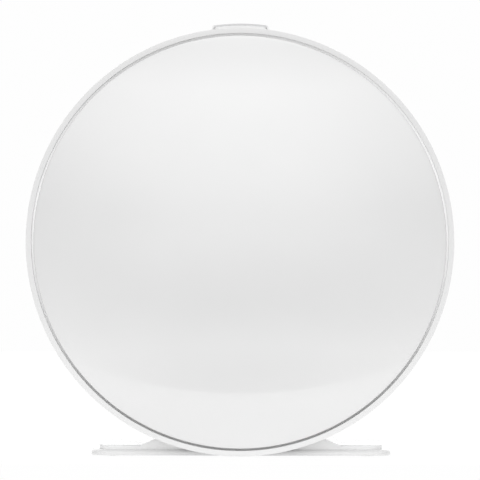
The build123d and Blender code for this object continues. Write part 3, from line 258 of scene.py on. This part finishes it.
def to_disc(bm):
    """From the disc's own axis to its place on the stand."""
    bmesh.ops.translate(bm, verts=bm.verts, vec=disc_centre)


# %% [markdown]
# ## The dome
# The front is one glossy moulding: a shallow cap of a large sphere with a short straight edge. A UV sphere
# cut down to a cap would waste most of its faces. Spinning one point about the sphere's centre draws the arc
# of the cap, and spinning that arc about the disc's axis draws the cap. The wall comes from a Solidify
# modifier, because only the rim of the inside can ever be seen.

# %% The dome's mesh
dome_low, dome_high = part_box("front_dome")
dome_radius = (dome_high.x - dome_low.x) / 2
dome_rise = disc_centre.y - dome_low.y
dome_crown = (dome_radius**2 + dome_rise**2) / (2 * dome_rise)
dome_skirt = 0.0025
dome_wall = 0.0024
dome_edge_round = 0.0006
cap_steps = 48

bm = bmesh.new()
apex = bm.verts.new((0, -dome_rise, 0))
bmesh.ops.spin(
    bm,
    geom=[apex],
    cent=(0, dome_crown - dome_rise, 0),
    axis=(0, 0, 1),
    angle=math.asin(dome_radius / dome_crown),
    steps=cap_steps,
)
brim = max(bm.verts, key=lambda v: v.co.x)
skirt = bmesh.ops.extrude_vert_indiv(bm, verts=[brim])
bmesh.ops.translate(bm, verts=skirt["verts"], vec=(0, dome_skirt, 0))
brim_depth = brim.co.y
spin_round(bm)
round_hoop(bm, dome_radius, brim_depth, dome_edge_round)
to_disc(bm)
dome = as_piece("dome_shell", bm, "front_dome", "speaker", dome_crisp_angle)
shell = dome.modifiers.new("wall", "SOLIDIFY")
shell.thickness = dome_wall
shell.offset = -1
print(f"dome crown radius {dome_crown * 1000:.0f} mm, rise {dome_rise * 1000:.1f} mm")

# %% [markdown]
# ## The ring and the light guide
# The slim white ring is a hoop with a flat front and two softly rounded edges. The light guide lies at the
# bottom of the gap between ring and dome. Both are turned from a section with square corners, and only the
# edges that catch light are rounded.

# %% The ring's mesh
rim_land = 0.0028
rim_depth = 0.009
rim_round = 0.0002
rim_inner = disc_radius - rim_land
bm = section_line(
    [(rim_inner, 0), (disc_radius, 0), (disc_radius, rim_depth), (rim_inner, rim_depth)], closed=True
)
spin_round(bm)
for hoop_radius in (rim_inner, disc_radius):
    round_hoop(bm, hoop_radius, 0, rim_round)
to_disc(bm)
rim = as_piece("slim_ring", bm, "rim_ring", "speaker")

# %% The light guide's mesh
guide_low, guide_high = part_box("light_guide_ring")
guide_outer = (guide_high.x - guide_low.x) / 2
guide_front = guide_low.y - disc_centre.y
guide_back = guide_high.y - disc_centre.y
guide_width = 0.0046
guide_leg = 0.0012
guide_thickness = 0.002
bm = section_line(
    [
        (guide_outer - guide_width, guide_front),
        (guide_outer, guide_front),
        (guide_outer, guide_back),
        (guide_outer - guide_leg, guide_back),
        (guide_outer - guide_leg, guide_front + guide_thickness),
        (guide_outer - guide_width, guide_front + guide_thickness),
    ],
    closed=True,
)
spin_round(bm)
to_disc(bm)
guide = as_piece("light_guide", bm, "light_guide_ring", "speaker")

# %% [markdown]
# ## Pieces taken over from the solid model
# The housing, the stand and the controls have the right shape already, but their mesh is loose triangles.
# A copy is welded and its flat faces are joined up again. Modelling them again would only repeat work. The
# press bar's pad and the rubber feet get a small bevel too, because no moulding has a knife edge and the
# bevel is what catches the light.

# %% Welded copies
weld_distance = 2e-6
flat_angle = math.radians(0.3)
bevel_angle = math.radians(40)


def welded_copy(name, node, body, edge=0.0, segments=2, crisp=crisp_angle):
    """A welded, bevelled copy of a solid's mesh that stands for it."""
    bm = bmesh.new()
    bm.from_mesh(frame["nodes"][node].data)
    bmesh.ops.remove_doubles(bm, verts=bm.verts, dist=weld_distance)
    bmesh.ops.dissolve_limit(bm, angle_limit=flat_angle, verts=bm.verts, edges=bm.edges)
    piece = as_piece(name, bm, node, body, crisp)
    if edge:
        bevel = piece.modifiers.new("edges", "BEVEL")
        bevel.width = edge
        bevel.segments = segments
        bevel.limit_method = "ANGLE"
        bevel.angle_limit = bevel_angle
        bevel.harden_normals = True
    return piece


housing = welded_copy("rear_shell", "rear_housing", "speaker")
cover = welded_copy("back_cover", "rear_cover", "speaker")
tray = welded_copy("stand_lower_layer", "stand_tray", "speaker")
saddle = welded_copy("stand_upper_layer", "stand_saddle", "speaker")
pad = welded_copy("press_bar_pad", "key_pad", "press_bar", edge=0.0004, segments=3)
key = welded_copy("press_bar_key", "key_cap", "press_bar")
rocker = welded_copy("rocker_cap", "volume_rocker", "rocker")
mute = welded_copy("mute_cap", "mute_slider", "mute")
inlet = welded_copy("power_socket", "power_inlet", "speaker")
feet = welded_copy("rubber_feet", "stand_feet", "speaker", edge=0.0003)

# %% [markdown]
# A button's ends lean in towards the top, so that it leaves its mould and a finger finds it. The solid's ends
# lean too little for the look of the real bar. Moving the points of the two copies is enough: each goes
# towards the middle by a share that grows with its height above the shell.

# %% The press bar's ends
shell_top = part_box("rear_housing")[1].z
pad_low, pad_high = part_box("key_pad")
bar_rise = pad_high.z - shell_top
end_lean = 0.06


def lean_ends(piece):
    """Draws the ends of a piece of the press bar in as they rise above the shell."""
    for point in piece.data.vertices:
        rise = (point.co.z - shell_top) / bar_rise
        point.co.x *= 1 - end_lean * min(max(rise, 0), 1)


for piece in (pad, key):
    lean_ends(piece)
print(f"the press bar rises {bar_rise * 1000:.1f} mm above the shell")

# %% [markdown]
# ## The driver's soft rings
# The driver's cone hangs in two soft rings: a rubber half roll round its edge, and a corrugated cloth disc
# round its neck that is called the spider. The basket holds both outside, the cone carries both inside, and
# they stretch when it moves. A blend between two bodies runs along a straight line, so one closed ring can't
# follow it. Each ring is therefore turned in twelve sectors that meet edge to edge, and here the sectors ride
# on no body. Solidify gives the sectors their wall while they are still a bmesh: their cut ends then count as
# sharp edges, so that no seam shows in the shading.

# %% Soft sectors
sector_count = 12
sector_angle = math.tau / sector_count
sector_steps = 10


def turned_sector(section, turn, thickness):
    """A section line spun through the sector that starts at a turn, with a wall behind it."""
    bm = section.copy()
    bmesh.ops.rotate(bm, verts=bm.verts, cent=(0, 0, 0), matrix=Matrix.Rotation(turn, 3, "Y"))
    bmesh.ops.spin(
        bm,
        geom=bm.verts[:] + bm.edges[:],
        cent=(0, 0, 0),
        axis=(0, 1, 0),
        angle=sector_angle,
        steps=sector_steps,
    )
    bmesh.ops.remove_doubles(bm, verts=bm.verts, dist=merge_distance)
    bm.normal_update()
    if sum(face.normal.y for face in bm.faces) > 0:
        bmesh.ops.reverse_faces(bm, faces=bm.faces)
    bmesh.ops.solidify(bm, geom=bm.faces[:], thickness=thickness)
    bmesh.ops.recalc_face_normals(bm, faces=bm.faces)
    to_disc(bm)
    return bm


def soft_ring(name, section, node, thickness):
    """A soft ring in sectors, from the radius that the cone carries to the radius that the basket holds."""
    ring = []
    for i in range(sector_count):
        turn = i * sector_angle
        bm = turned_sector(section, turn, thickness)
        sector = as_piece(f"{name}_{i + 1}", bm, node, None, soft_crisp_angle)
        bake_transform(sector)
        ring.append(sector)
    section.free()
    depths = [v.co.y for sector in ring for v in sector.data.vertices]
    print(f"{name}: {sector_count} sectors, depth {min(depths) * 1000:.2f} to {max(depths) * 1000:.2f} mm")
    return ring


# %% [markdown]
# The surround is a half roll of moulded rubber. A short lip is glued on the cone's edge and a flat land on
# the basket's, and the roll between them unrolls as the cone goes in and out. The roll of the section is one
# point spun through half a turn, which draws a true half circle however large the solid's is.

# %% The surround
roll_low, roll_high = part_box("surround")
cone_low, cone_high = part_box("cone")
cone_radius = (cone_high.x - cone_low.x) / 2
roll_base = roll_low.y - disc_centre.y
roll_radius = roll_high.y - roll_low.y
roll_thickness = 0.0005
glue_step = 0.0002
glue_width = 0.0007
roll_steps = 14
bm = section_line(
    [
        (cone_radius - glue_width, roll_base - glue_step),
        (cone_radius, roll_base - glue_step),
        (cone_radius + roll_thickness, roll_base),
    ]
)
foot = max(bm.verts, key=lambda v: v.co.x)
bmesh.ops.spin(
    bm,
    geom=[foot],
    cent=(cone_radius + roll_radius, roll_base, 0),
    axis=(0, 0, 1),
    angle=-math.pi,
    steps=roll_steps,
)
bmesh.ops.remove_doubles(bm, verts=bm.verts, dist=merge_distance)
far_foot = max(bm.verts, key=lambda v: v.co.x)
held_radius = far_foot.co.x
land = bmesh.ops.extrude_vert_indiv(bm, verts=[far_foot])
bmesh.ops.translate(bm, verts=land["verts"], vec=((roll_high.x - roll_low.x) / 2 - held_radius, 0, 0))
surround = soft_ring(
    "surround", bm, "surround", roll_thickness
)

# %% [markdown]
# The spider keeps the coil centred in its gap. It is cotton cloth, dipped in resin and pressed hot into
# concentric waves, and the waves give it its travel. A line through the crests and the troughs of three
# waves is its whole section.

# %% The spider
spider_low, spider_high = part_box("spider")
coil_low, coil_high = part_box("voice_coil")
neck_radius = (coil_high.x - coil_low.x) / 2
spider_radius = (spider_high.x - spider_low.x) / 2
spider_base = spider_low.y - disc_centre.y
wave_height = 0.0005
cloth_thickness = spider_high.y - spider_low.y - wave_height
wave_count = 3
wave_land = 0.0012
wave_pitch = (spider_radius - wave_land - neck_radius) / wave_count
wave_shape = ((0.15, 0), (0.25, wave_height), (0.4, wave_height), (0.65, 0), (0.9, 0))
corners = [(neck_radius, spider_base)]
for i in range(wave_count):
    for share, rise in wave_shape:
        corners.append((neck_radius + wave_pitch * (i + share), spider_base + rise))
corners.append((spider_radius, spider_base))
bm = section_line(corners)
spider = soft_ring(
    "spider", bm, "spider", cloth_thickness
)

# %% [markdown]
# The press bar stands on two silicone domes, which give way when the bar goes down. Their welded copy gets a
# mesh of its own.

# %% The spring domes
springs = welded_copy("spring_domes", "key_springs", "speaker")
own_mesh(springs)

# %% [markdown]
# ## Finishes
# Plastic is never one flat colour up close. A spark-eroded mould leaves a fine pebbled skin, gloss mouldings
# have a faint orange peel, and both vary a little in sheen where hands have been. These effects are used by
# several materials, so each is a node group with its own inputs, built once.

# %% Node groups
noise_low, noise_high = 0.3, 0.7  # most values of a noise lie between them


def new_group(name, inputs, outputs):
    """An empty shader node group with named sockets."""
    tree = bpy.data.node_groups.new(name, "ShaderNodeTree")
    for label, default in inputs:
        socket = tree.interface.new_socket(label, in_out="INPUT", socket_type="NodeSocketFloat")
        socket.default_value = default
    for label, kind in outputs:
        tree.interface.new_socket(label, in_out="OUTPUT", socket_type=kind)
    return tree, add_node(tree, "NodeGroupInput"), add_node(tree, "NodeGroupOutput")


def link(tree, *pairs):
    """Links pairs of sockets."""
    for a, b in pairs:
        tree.links.new(a, b)


skin_group, skin_in, skin_out = new_group(
    "moulded_skin",
    [("Grain Scale", 2500), ("Patch Scale", 18), ("Roughness Low", 0.4), ("Roughness High", 0.5)],
    [("Roughness", "NodeSocketFloat"), ("Height", "NodeSocketFloat"), ("Patches", "NodeSocketFloat")],
)
skin_place = add_node(skin_group, "ShaderNodeTexCoord")
skin_grain = add_node(skin_group, "ShaderNodeTexNoise")
skin_grain.inputs["Detail"].default_value = 3
skin_patch = add_node(skin_group, "ShaderNodeTexNoise")
skin_patch.inputs["Detail"].default_value = 4
skin_range = add_node(skin_group, "ShaderNodeMapRange")
skin_range.inputs["From Min"].default_value = noise_low
skin_range.inputs["From Max"].default_value = noise_high
link(
    skin_group,
    (skin_place.outputs["Object"], skin_grain.inputs["Vector"]),
    (skin_place.outputs["Object"], skin_patch.inputs["Vector"]),
    (skin_in.outputs["Grain Scale"], skin_grain.inputs["Scale"]),
    (skin_in.outputs["Patch Scale"], skin_patch.inputs["Scale"]),
    (skin_patch.outputs["Fac"], skin_range.inputs["Value"]),
    (skin_in.outputs["Roughness Low"], skin_range.inputs["To Min"]),
    (skin_in.outputs["Roughness High"], skin_range.inputs["To Max"]),
    (skin_range.outputs["Result"], skin_out.inputs["Roughness"]),
    (skin_grain.outputs["Fac"], skin_out.inputs["Height"]),
    (skin_patch.outputs["Fac"], skin_out.inputs["Patches"]),
)
print("node group:", skin_group.name)

# %% [markdown]
# The metal pieces inside are stampings, turned parts and plated screws. What tells them from plastic is a
# fine streak left by rolling or turning. A noise that is stretched along one axis makes it, and one group
# serves steel, tin, aluminium and copper, with the streak's length and the spread of sheen as inputs.

# %% Plated streaks
streak_group, streak_in, streak_out = new_group(
    "plated_streaks",
    [("Streak Scale", 900), ("Stretch", 0.06), ("Roughness Low", 0.25), ("Roughness High", 0.4)],
    [("Roughness", "NodeSocketFloat"), ("Height", "NodeSocketFloat"), ("Patches", "NodeSocketFloat")],
)
streak_place = add_node(streak_group, "ShaderNodeTexCoord")
streak_axes = add_node(streak_group, "ShaderNodeCombineXYZ")
streak_axes.inputs["Y"].default_value = 1
streak_axes.inputs["Z"].default_value = 1
streak_room = add_node(streak_group, "ShaderNodeVectorMath", operation="MULTIPLY")
streak_noise = add_node(streak_group, "ShaderNodeTexNoise")
streak_noise.inputs["Detail"].default_value = 4
streak_cloud = add_node(streak_group, "ShaderNodeTexNoise")
streak_cloud.inputs["Scale"].default_value = 60
streak_range = add_node(streak_group, "ShaderNodeMapRange")
streak_range.inputs["From Min"].default_value = noise_low
streak_range.inputs["From Max"].default_value = noise_high
link(
    streak_group,
    (streak_in.outputs["Stretch"], streak_axes.inputs["X"]),
    (streak_place.outputs["Object"], streak_room.inputs[0]),
    (streak_axes.outputs["Vector"], streak_room.inputs[1]),
    (streak_room.outputs["Vector"], streak_noise.inputs["Vector"]),
    (streak_in.outputs["Streak Scale"], streak_noise.inputs["Scale"]),
    (streak_place.outputs["Object"], streak_cloud.inputs["Vector"]),
    (streak_noise.outputs["Fac"], streak_range.inputs["Value"]),
    (streak_in.outputs["Roughness Low"], streak_range.inputs["To Min"]),
    (streak_in.outputs["Roughness High"], streak_range.inputs["To Max"]),
    (streak_range.outputs["Result"], streak_out.inputs["Roughness"]),
    (streak_noise.outputs["Fac"], streak_out.inputs["Height"]),
    (streak_cloud.outputs["Fac"], streak_out.inputs["Patches"]),
)
print("node group:", streak_group.name)

# %% [markdown]
# Acoustic cloth, the resin-stiffened spider and the glass weave that shows through a circuit board are all
# plain weaves. Two sets of bands at right angles, with the larger of the two taken at each point, look like
# threads that lie over each other. The pitch is an input, because the three weaves differ only in that.

# %% Weave
weave_group, weave_in, weave_out = new_group(
    "plain_weave", [("Weave Scale", 1600)], [("Threads", "NodeSocketFloat"), ("Patches", "NodeSocketFloat")]
)
weave_place = add_node(weave_group, "ShaderNodeTexCoord")
weave_across = add_node(weave_group, "ShaderNodeTexWave", wave_type="BANDS", bands_direction="X")
weave_along = add_node(weave_group, "ShaderNodeTexWave", wave_type="BANDS", bands_direction="Z")
weave_top = add_node(weave_group, "ShaderNodeMath", operation="MAXIMUM")
weave_cloud = add_node(weave_group, "ShaderNodeTexNoise")
weave_cloud.inputs["Scale"].default_value = 120
link(
    weave_group,
    (weave_place.outputs["Object"], weave_across.inputs["Vector"]),
    (weave_place.outputs["Object"], weave_along.inputs["Vector"]),
    (weave_place.outputs["Object"], weave_cloud.inputs["Vector"]),
    (weave_in.outputs["Weave Scale"], weave_across.inputs["Scale"]),
    (weave_in.outputs["Weave Scale"], weave_along.inputs["Scale"]),
    (weave_across.outputs["Fac"], weave_top.inputs[0]),
    (weave_along.outputs["Fac"], weave_top.inputs[1]),
    (weave_top.outputs["Value"], weave_out.inputs["Threads"]),
    (weave_cloud.outputs["Fac"], weave_out.inputs["Patches"]),
)
print("node group:", weave_group.name)

# %% [markdown]
# ## Materials
# Each material is named for what it is on the speaker. A maker builds the shared node work, and the numbers
# say what differs: the colour, the spread of the sheen and how coarse the skin is. No colour stays flat. The
# base colour drifts by a percent or two with slow patches, as real mouldings do where the melt cooled.

# %% Material makers
grain_depth = 0.0001
thread_depth = 0.0002
metal_spread = 0.05


def start_material(name, group, **group_inputs):
    """A material with one effect group, a tone ramp and a bump in front of its shader."""
    material = bpy.data.materials.new(name)
    material.use_nodes = True
    tree = material.node_tree
    effect = add_node(tree, "ShaderNodeGroup", node_tree=group)
    for label, value in group_inputs.items():
        effect.inputs[label.replace("_", " ")].default_value = value
    tone = add_node(tree, "ShaderNodeValToRGB")
    relief = add_node(tree, "ShaderNodeBump")
    return material, tree, tree.nodes["Principled BSDF"], effect, tone, relief


def shades(colour, spread):
    """A darker and a lighter version of a colour, as the two ends of a tone ramp."""
    darker = [c * (1 - spread) for c in colour]
    lighter = [min(1, c * (1 + spread)) for c in colour]
    return [(noise_low, darker), (noise_high, lighter)]


def moulded(name, colour, low, high, grain=2500, bump=0.02, tint=0.012, **fixed):
    """A moulded material: a faint drift of colour, sheen in patches, and a pebbled skin."""
    material, tree, shader, skin, tone, relief = start_material(
        name, skin_group, Grain_Scale=grain, Roughness_Low=low, Roughness_High=high
    )
    set_ramp(tone, shades(colour, tint))
    relief.inputs["Strength"].default_value = bump
    relief.inputs["Distance"].default_value = grain_depth
    link(
        tree,
        (skin.outputs["Patches"], tone.inputs["Fac"]),
        (tone.outputs["Color"], shader.inputs["Base Color"]),
        (skin.outputs["Roughness"], shader.inputs["Roughness"]),
        (skin.outputs["Height"], relief.inputs["Height"]),
        (relief.outputs["Normal"], shader.inputs["Normal"]),
    )
    for label, value in fixed.items():
        shader.inputs[label.replace("_", " ")].default_value = value
    return material


def plated(name, colour, low, high, scale=900, stretch=0.06, bump=0.08):
    """A metal with streaks from rolling or turning."""
    material, tree, shader, streaks, tone, relief = start_material(
        name, streak_group, Streak_Scale=scale, Stretch=stretch, Roughness_Low=low, Roughness_High=high
    )
    set_ramp(tone, shades(colour, metal_spread))
    relief.inputs["Strength"].default_value = bump
    relief.inputs["Distance"].default_value = grain_depth
    shader.inputs["Metallic"].default_value = 1
    link(
        tree,
        (streaks.outputs["Patches"], tone.inputs["Fac"]),
        (tone.outputs["Color"], shader.inputs["Base Color"]),
        (streaks.outputs["Roughness"], shader.inputs["Roughness"]),
        (streaks.outputs["Height"], relief.inputs["Height"]),
        (relief.outputs["Normal"], shader.inputs["Normal"]),
    )
    return material


def woven(name, colour, threads, roughness, contrast=0.35, bump=0.5):
    """A weave, or a laminate that a weave shows through."""
    material, tree, shader, weave, tone, relief = start_material(name, weave_group, Weave_Scale=threads)
    set_ramp(tone, shades(colour, contrast))
    relief.inputs["Strength"].default_value = bump
    relief.inputs["Distance"].default_value = thread_depth
    shader.inputs["Roughness"].default_value = roughness
    link(
        tree,
        (weave.outputs["Threads"], tone.inputs["Fac"]),
        (tone.outputs["Color"], shader.inputs["Base Color"]),
        (weave.outputs["Threads"], relief.inputs["Height"]),
        (relief.outputs["Normal"], shader.inputs["Normal"]),
    )
    return material


def dress(piece, material):
    """Gives a piece one material."""
    piece.data.materials.clear()
    piece.data.materials.append(material)


print("three material makers")

# %% [markdown]
# Everything outside is white, and what tells the pieces apart is their sheen. The dome is polished and
# lacquered. The ring, the shell and the controls are satin, the back cover is matte and the pad is soft. The
# stand is polished too: seen level, its top faces mirror the pale room behind them, so that its two layers
# read as one bright shape with a faint line between them.

# %% White and soft surfaces
gloss_white = moulded(
    "gloss_white_dome",
    (0.80, 0.80, 0.80),
    0.10,
    0.13,
    grain=400,
    bump=0.01,
    Coat_Weight=1.0,
    Coat_Roughness=0.08,
)
satin_white = moulded("satin_white_plastic", (0.80, 0.80, 0.80), 0.42, 0.50)
key_white = moulded("satin_white_key", (0.92, 0.92, 0.92), 0.40, 0.48)
cover_white = moulded("fine_matte_back_cover", (0.78, 0.78, 0.785), 0.55, 0.66, grain=1800, bump=0.05)
# The two layers are one white plastic: the upper layer is painted a shade lighter than the lower, to make up
# for the shade the disc casts on it.
tray_white = moulded("glossy_white_lower_layer", (0.77, 0.77, 0.77), 0.10, 0.15)
saddle_white_painted_lighter = moulded("glossy_white_upper_layer_painted_lighter", (0.82, 0.82, 0.82), 0.10, 0.15)
soft_grey_pad = moulded("soft_pale_pad", (0.65, 0.65, 0.655), 0.60, 0.68, grain=3500, bump=0.04)
foot_rubber = moulded("grey_foot_rubber", (0.42, 0.42, 0.42), 0.75, 0.85, grain=1500, bump=0.06, tint=0.05)
print("eight whites and soft surfaces")

# %% [markdown]
# The pad's end faces lie in shade, so a painted highlight lightens them: its grey turns to white over the
# last two millimetres, by the distance from the bar's middle.

# %% The pad's ends, painted lighter
pad_half = (pad_high.x - pad_low.x) / 2
painted_highlight_length = 0.0022
painted_end_highlight = (0.95, 0.95, 0.95, 1)
pad_tree = soft_grey_pad.node_tree
pad_shader = pad_tree.nodes["Principled BSDF"]
pad_place = add_node(pad_tree, "ShaderNodeTexCoord")
pad_axes = add_node(pad_tree, "ShaderNodeSeparateXYZ")
pad_reach = add_node(pad_tree, "ShaderNodeMath", operation="ABSOLUTE")
pad_fade = add_node(pad_tree, "ShaderNodeMapRange")
pad_fade.inputs["From Min"].default_value = pad_half - painted_highlight_length
pad_fade.inputs["From Max"].default_value = pad_half - painted_highlight_length / 2
pad_tone = pad_shader.inputs["Base Color"].links[0].from_socket
# The mix node has sockets of the same name for each kind of value, so its colours go by number.
# Painted highlight: the mix turns the pad's grey to near-white towards its shaded ends.
pad_blend = add_node(pad_tree, "ShaderNodeMix", data_type="RGBA")
blend_share, grey_end, white_end = (pad_blend.inputs[i] for i in (0, 6, 7))
white_end.default_value = painted_end_highlight
link(
    pad_tree,
    (pad_place.outputs["Object"], pad_axes.inputs["Vector"]),
    (pad_axes.outputs["X"], pad_reach.inputs[0]),
    (pad_reach.outputs["Value"], pad_fade.inputs["Value"]),
    (pad_fade.outputs["Result"], blend_share),
    (pad_tone, grey_end),
    (pad_blend.outputs[2], pad_shader.inputs["Base Color"]),
)
print(f"the pad fades over its last {painted_highlight_length * 1000:.1f} mm")

# %% [markdown]
# The light guide is opal, and its glow is painted light: an emission that stands in for the room's light in
# the gap, though the guide is no lamp. The painted glow follows the height on the ring, strong at the sides,
# weaker at the top and gone at the bottom, and at the top it leans a little to the right. It has a material
# of its own, because nothing else on the speaker has a painted glow.

# %% Opal light guide with painted glow
painted_glow_lean = -2.6  # steps of the glow per metre to the right, at the top
painted_glow_levels = (
    (0.0, 0.0), (0.05, 0.0), (0.09, 0.01), (0.17, 0.06), (0.265, 0.20), (0.38, 0.36), (0.5, 0.46),
    (0.63, 0.53), (0.74, 0.46), (0.83, 0.40), (0.9, 0.34), (1.0, 0.26),
)
opal = moulded("opal_light_guide_painted_glow", (0.62, 0.62, 0.62), 0.35, 0.40, bump=0.0)
opal_tree = opal.node_tree
opal_shader = opal_tree.nodes["Principled BSDF"]
opal_place = add_node(opal_tree, "ShaderNodeTexCoord")
opal_axes = add_node(opal_tree, "ShaderNodeSeparateXYZ")
opal_height = add_node(opal_tree, "ShaderNodeMapRange")
opal_height.inputs["From Min"].default_value = disc_centre.z - disc_radius
opal_height.inputs["From Max"].default_value = disc_centre.z + disc_radius
opal_above = add_node(opal_tree, "ShaderNodeMath", operation="SUBTRACT", use_clamp=True)
opal_above.inputs[1].default_value = 0.5
opal_slant = add_node(opal_tree, "ShaderNodeMath", operation="MULTIPLY")
opal_lean = add_node(opal_tree, "ShaderNodeMath", operation="MULTIPLY")
opal_lean.inputs[1].default_value = painted_glow_lean
opal_level = add_node(opal_tree, "ShaderNodeMath", operation="ADD")
painted_gap_glow = add_node(opal_tree, "ShaderNodeValToRGB")
set_ramp(painted_gap_glow, painted_glow_levels)
# Painted light: the guide emits the painted gap glow, though it is no lamp.
opal_shader.inputs["Emission Strength"].default_value = 1
link(
    opal_tree,
    (opal_place.outputs["Object"], opal_axes.inputs["Vector"]),
    (opal_axes.outputs["Z"], opal_height.inputs["Value"]),
    (opal_height.outputs["Result"], opal_above.inputs[0]),
    (opal_axes.outputs["X"], opal_slant.inputs[0]),
    (opal_above.outputs["Value"], opal_slant.inputs[1]),
    (opal_slant.outputs["Value"], opal_lean.inputs[0]),
    (opal_height.outputs["Result"], opal_level.inputs[0]),
    (opal_lean.outputs["Value"], opal_level.inputs[1]),
    (opal_level.outputs["Value"], painted_gap_glow.inputs["Fac"]),
    (painted_gap_glow.outputs["Color"], opal_shader.inputs["Emission Color"]),
)
print("opal glow in", len(painted_glow_levels), "steps")

# %% [markdown]
# What lies inside is seen only through the slots of the back cover, or when the speaker is taken apart. It
# still gets its real materials, so that every piece can be looked at by itself.

# %% Inner materials
black_plastic = moulded("black_glass_filled_plastic", (0.030, 0.030, 0.032), 0.45, 0.55, tint=0.12, bump=0.06)
grey_plastic = moulded("grey_socket_plastic", (0.28, 0.29, 0.30), 0.40, 0.50, tint=0.05)
lamp_package = moulded("pale_lamp_package", (0.85, 0.80, 0.50), 0.20, 0.30, grain=6000, tint=0.08)
clear_silicone = moulded(
    "milky_silicone", (0.72, 0.73, 0.74), 0.35, 0.45, tint=0.03, Subsurface_Weight=0.2, Subsurface_Scale=0.002
)
black_rubber = moulded(
    "black_moulded_rubber", (0.028, 0.028, 0.029), 0.55, 0.70, grain=1500, bump=0.08, tint=0.15
)
foam = moulded("black_closed_foam", (0.045, 0.045, 0.046), 0.85, 0.95, grain=2200, bump=0.5, tint=0.3)
cone_paper = moulded("black_paper_cone", (0.050, 0.050, 0.053), 0.70, 0.82, grain=700, bump=0.3, tint=0.25)
flex_ribbon = moulded("amber_ribbon", (0.62, 0.30, 0.07), 0.25, 0.35, grain=900, tint=0.06)
steel = plated("zinc_plated_steel", (0.58, 0.59, 0.60), 0.28, 0.42)
tin = plated("tinned_sheet", (0.66, 0.67, 0.68), 0.22, 0.36, stretch=0.3)
aluminium = plated("extruded_aluminium", (0.74, 0.75, 0.76), 0.30, 0.42, stretch=0.03)
copper = plated("copper_winding", (0.72, 0.35, 0.18), 0.22, 0.34, scale=2500, stretch=1.0, bump=0.2)
ferrite = moulded("coated_magnet", (0.11, 0.11, 0.115), 0.35, 0.50, grain=3000, bump=0.1, tint=0.2)
acoustic_cloth = woven("dark_acoustic_cloth", (0.085, 0.085, 0.09), 500, 0.9)
spider_cloth = woven("amber_spider_cloth", (0.55, 0.40, 0.20), 350, 0.8)
laminate = woven("green_laminate", (0.035, 0.16, 0.085), 900, 0.35, contrast=0.12, bump=0.08)
print(len(bpy.data.materials), "materials")

# %% [markdown]
# Now every piece gets its material. The pieces made above are dressed by name. The solids carried over as
# they are go by their slot, which names the material that the maker of each solid meant.

# %% Dressing
for piece, material in (
    (dome, gloss_white),
    (rim, satin_white),
    (housing, satin_white),
    (cover, cover_white),
    (key, key_white),
    (rocker, satin_white),
    (mute, satin_white),
    (tray, tray_white),
    (saddle, saddle_white_painted_lighter),
    (guide, opal),
    (pad, soft_grey_pad),
    (inlet, black_plastic),
    (feet, foot_rubber),
    (springs, clear_silicone),
    *((sector, black_rubber) for sector in surround),
    *((sector, spider_cloth) for sector in spider),
):
    dress(piece, material)

inner_materials = {
    "board_green": laminate,
    "lamp": lamp_package,
    "black_plastic": black_plastic,
    "grey_plastic": grey_plastic,
    "steel": steel,
    "tin": tin,
    "aluminium": aluminium,
    "copper": copper,
    "ferrite": ferrite,
    "cloth": acoustic_cloth,
    "spider_cloth": spider_cloth,
    "cone_paper": cone_paper,
    "foam": foam,
    "black_rubber": black_rubber,
    "clear_silicone": clear_silicone,
    "flex_orange": flex_ribbon,
}
slot_of = {part["node"]: part["material_slot"] for part in frame["record"]["subparts"]}
dressed = 0
for name, node in frame["nodes"].items():
    if not node.hide_render:
        dress(node, inner_materials[slot_of[name]])
        dressed += 1
print("dressed", dressed, "solids")

# %% [markdown]
# ## The table
# The speaker stands on a pale table whose front edge is a finger's width ahead of the dome. From straight
# ahead the table can't be told from the backdrop, but the dome mirrors its edge as a soft arc near the
# bottom. The camera sees the table almost as pure white, and the speaker sees it as a pale paper.

# %% Table
table_edge = dome_low.y - 0.020
table_size = (2.4, 1.6, 0.03)
table_glow = 0.55
table_whiteness = 0.9  # share of pure white in what the camera sees
bm = bmesh.new()
bmesh.ops.create_cube(bm, size=1)
bmesh.ops.scale(bm, verts=bm.verts, vec=table_size)
bmesh.ops.translate(bm, verts=bm.verts, vec=(0, table_edge + table_size[1] / 2, -table_size[2] / 2))
table_mesh = bpy.data.meshes.new("table_top")
bm.to_mesh(table_mesh)
bm.free()
table = bpy.data.objects.new("table_top", table_mesh)
bpy.context.scene.collection.objects.link(table)
paper = bpy.data.materials.new("pale_table")
paper.use_nodes = True
paper_shader = paper.node_tree.nodes["Principled BSDF"]
paper_shader.inputs["Base Color"].default_value = (0.5, 0.5, 0.5, 1)
paper_shader.inputs["Roughness"].default_value = 0.6
paper_shader.inputs["Emission Color"].default_value = (1, 1, 1, 1)
paper_shader.inputs["Emission Strength"].default_value = table_glow
white_seen = add_node(paper.node_tree, "ShaderNodeEmission")
white_seen.inputs["Color"].default_value = seen_white
paper_rays = add_node(paper.node_tree, "ShaderNodeLightPath")
paper_mix = add_node(paper.node_tree, "ShaderNodeMixShader")
seen_share = add_node(paper.node_tree, "ShaderNodeMath", operation="MULTIPLY")
seen_share.inputs[1].default_value = table_whiteness
link(
    paper.node_tree,
    (paper_rays.outputs["Is Camera Ray"], seen_share.inputs[0]),
    (seen_share.outputs["Value"], paper_mix.inputs["Fac"]),
    (paper_shader.outputs["BSDF"], paper_mix.inputs[1]),
    (white_seen.outputs["Emission"], paper_mix.inputs[2]),
    (paper_mix.outputs["Shader"], paper.node_tree.nodes["Material Output"].inputs["Surface"]),
)
dress(table, paper)
print(f"table edge {-table_edge * 1000:.0f} mm ahead of the origin")
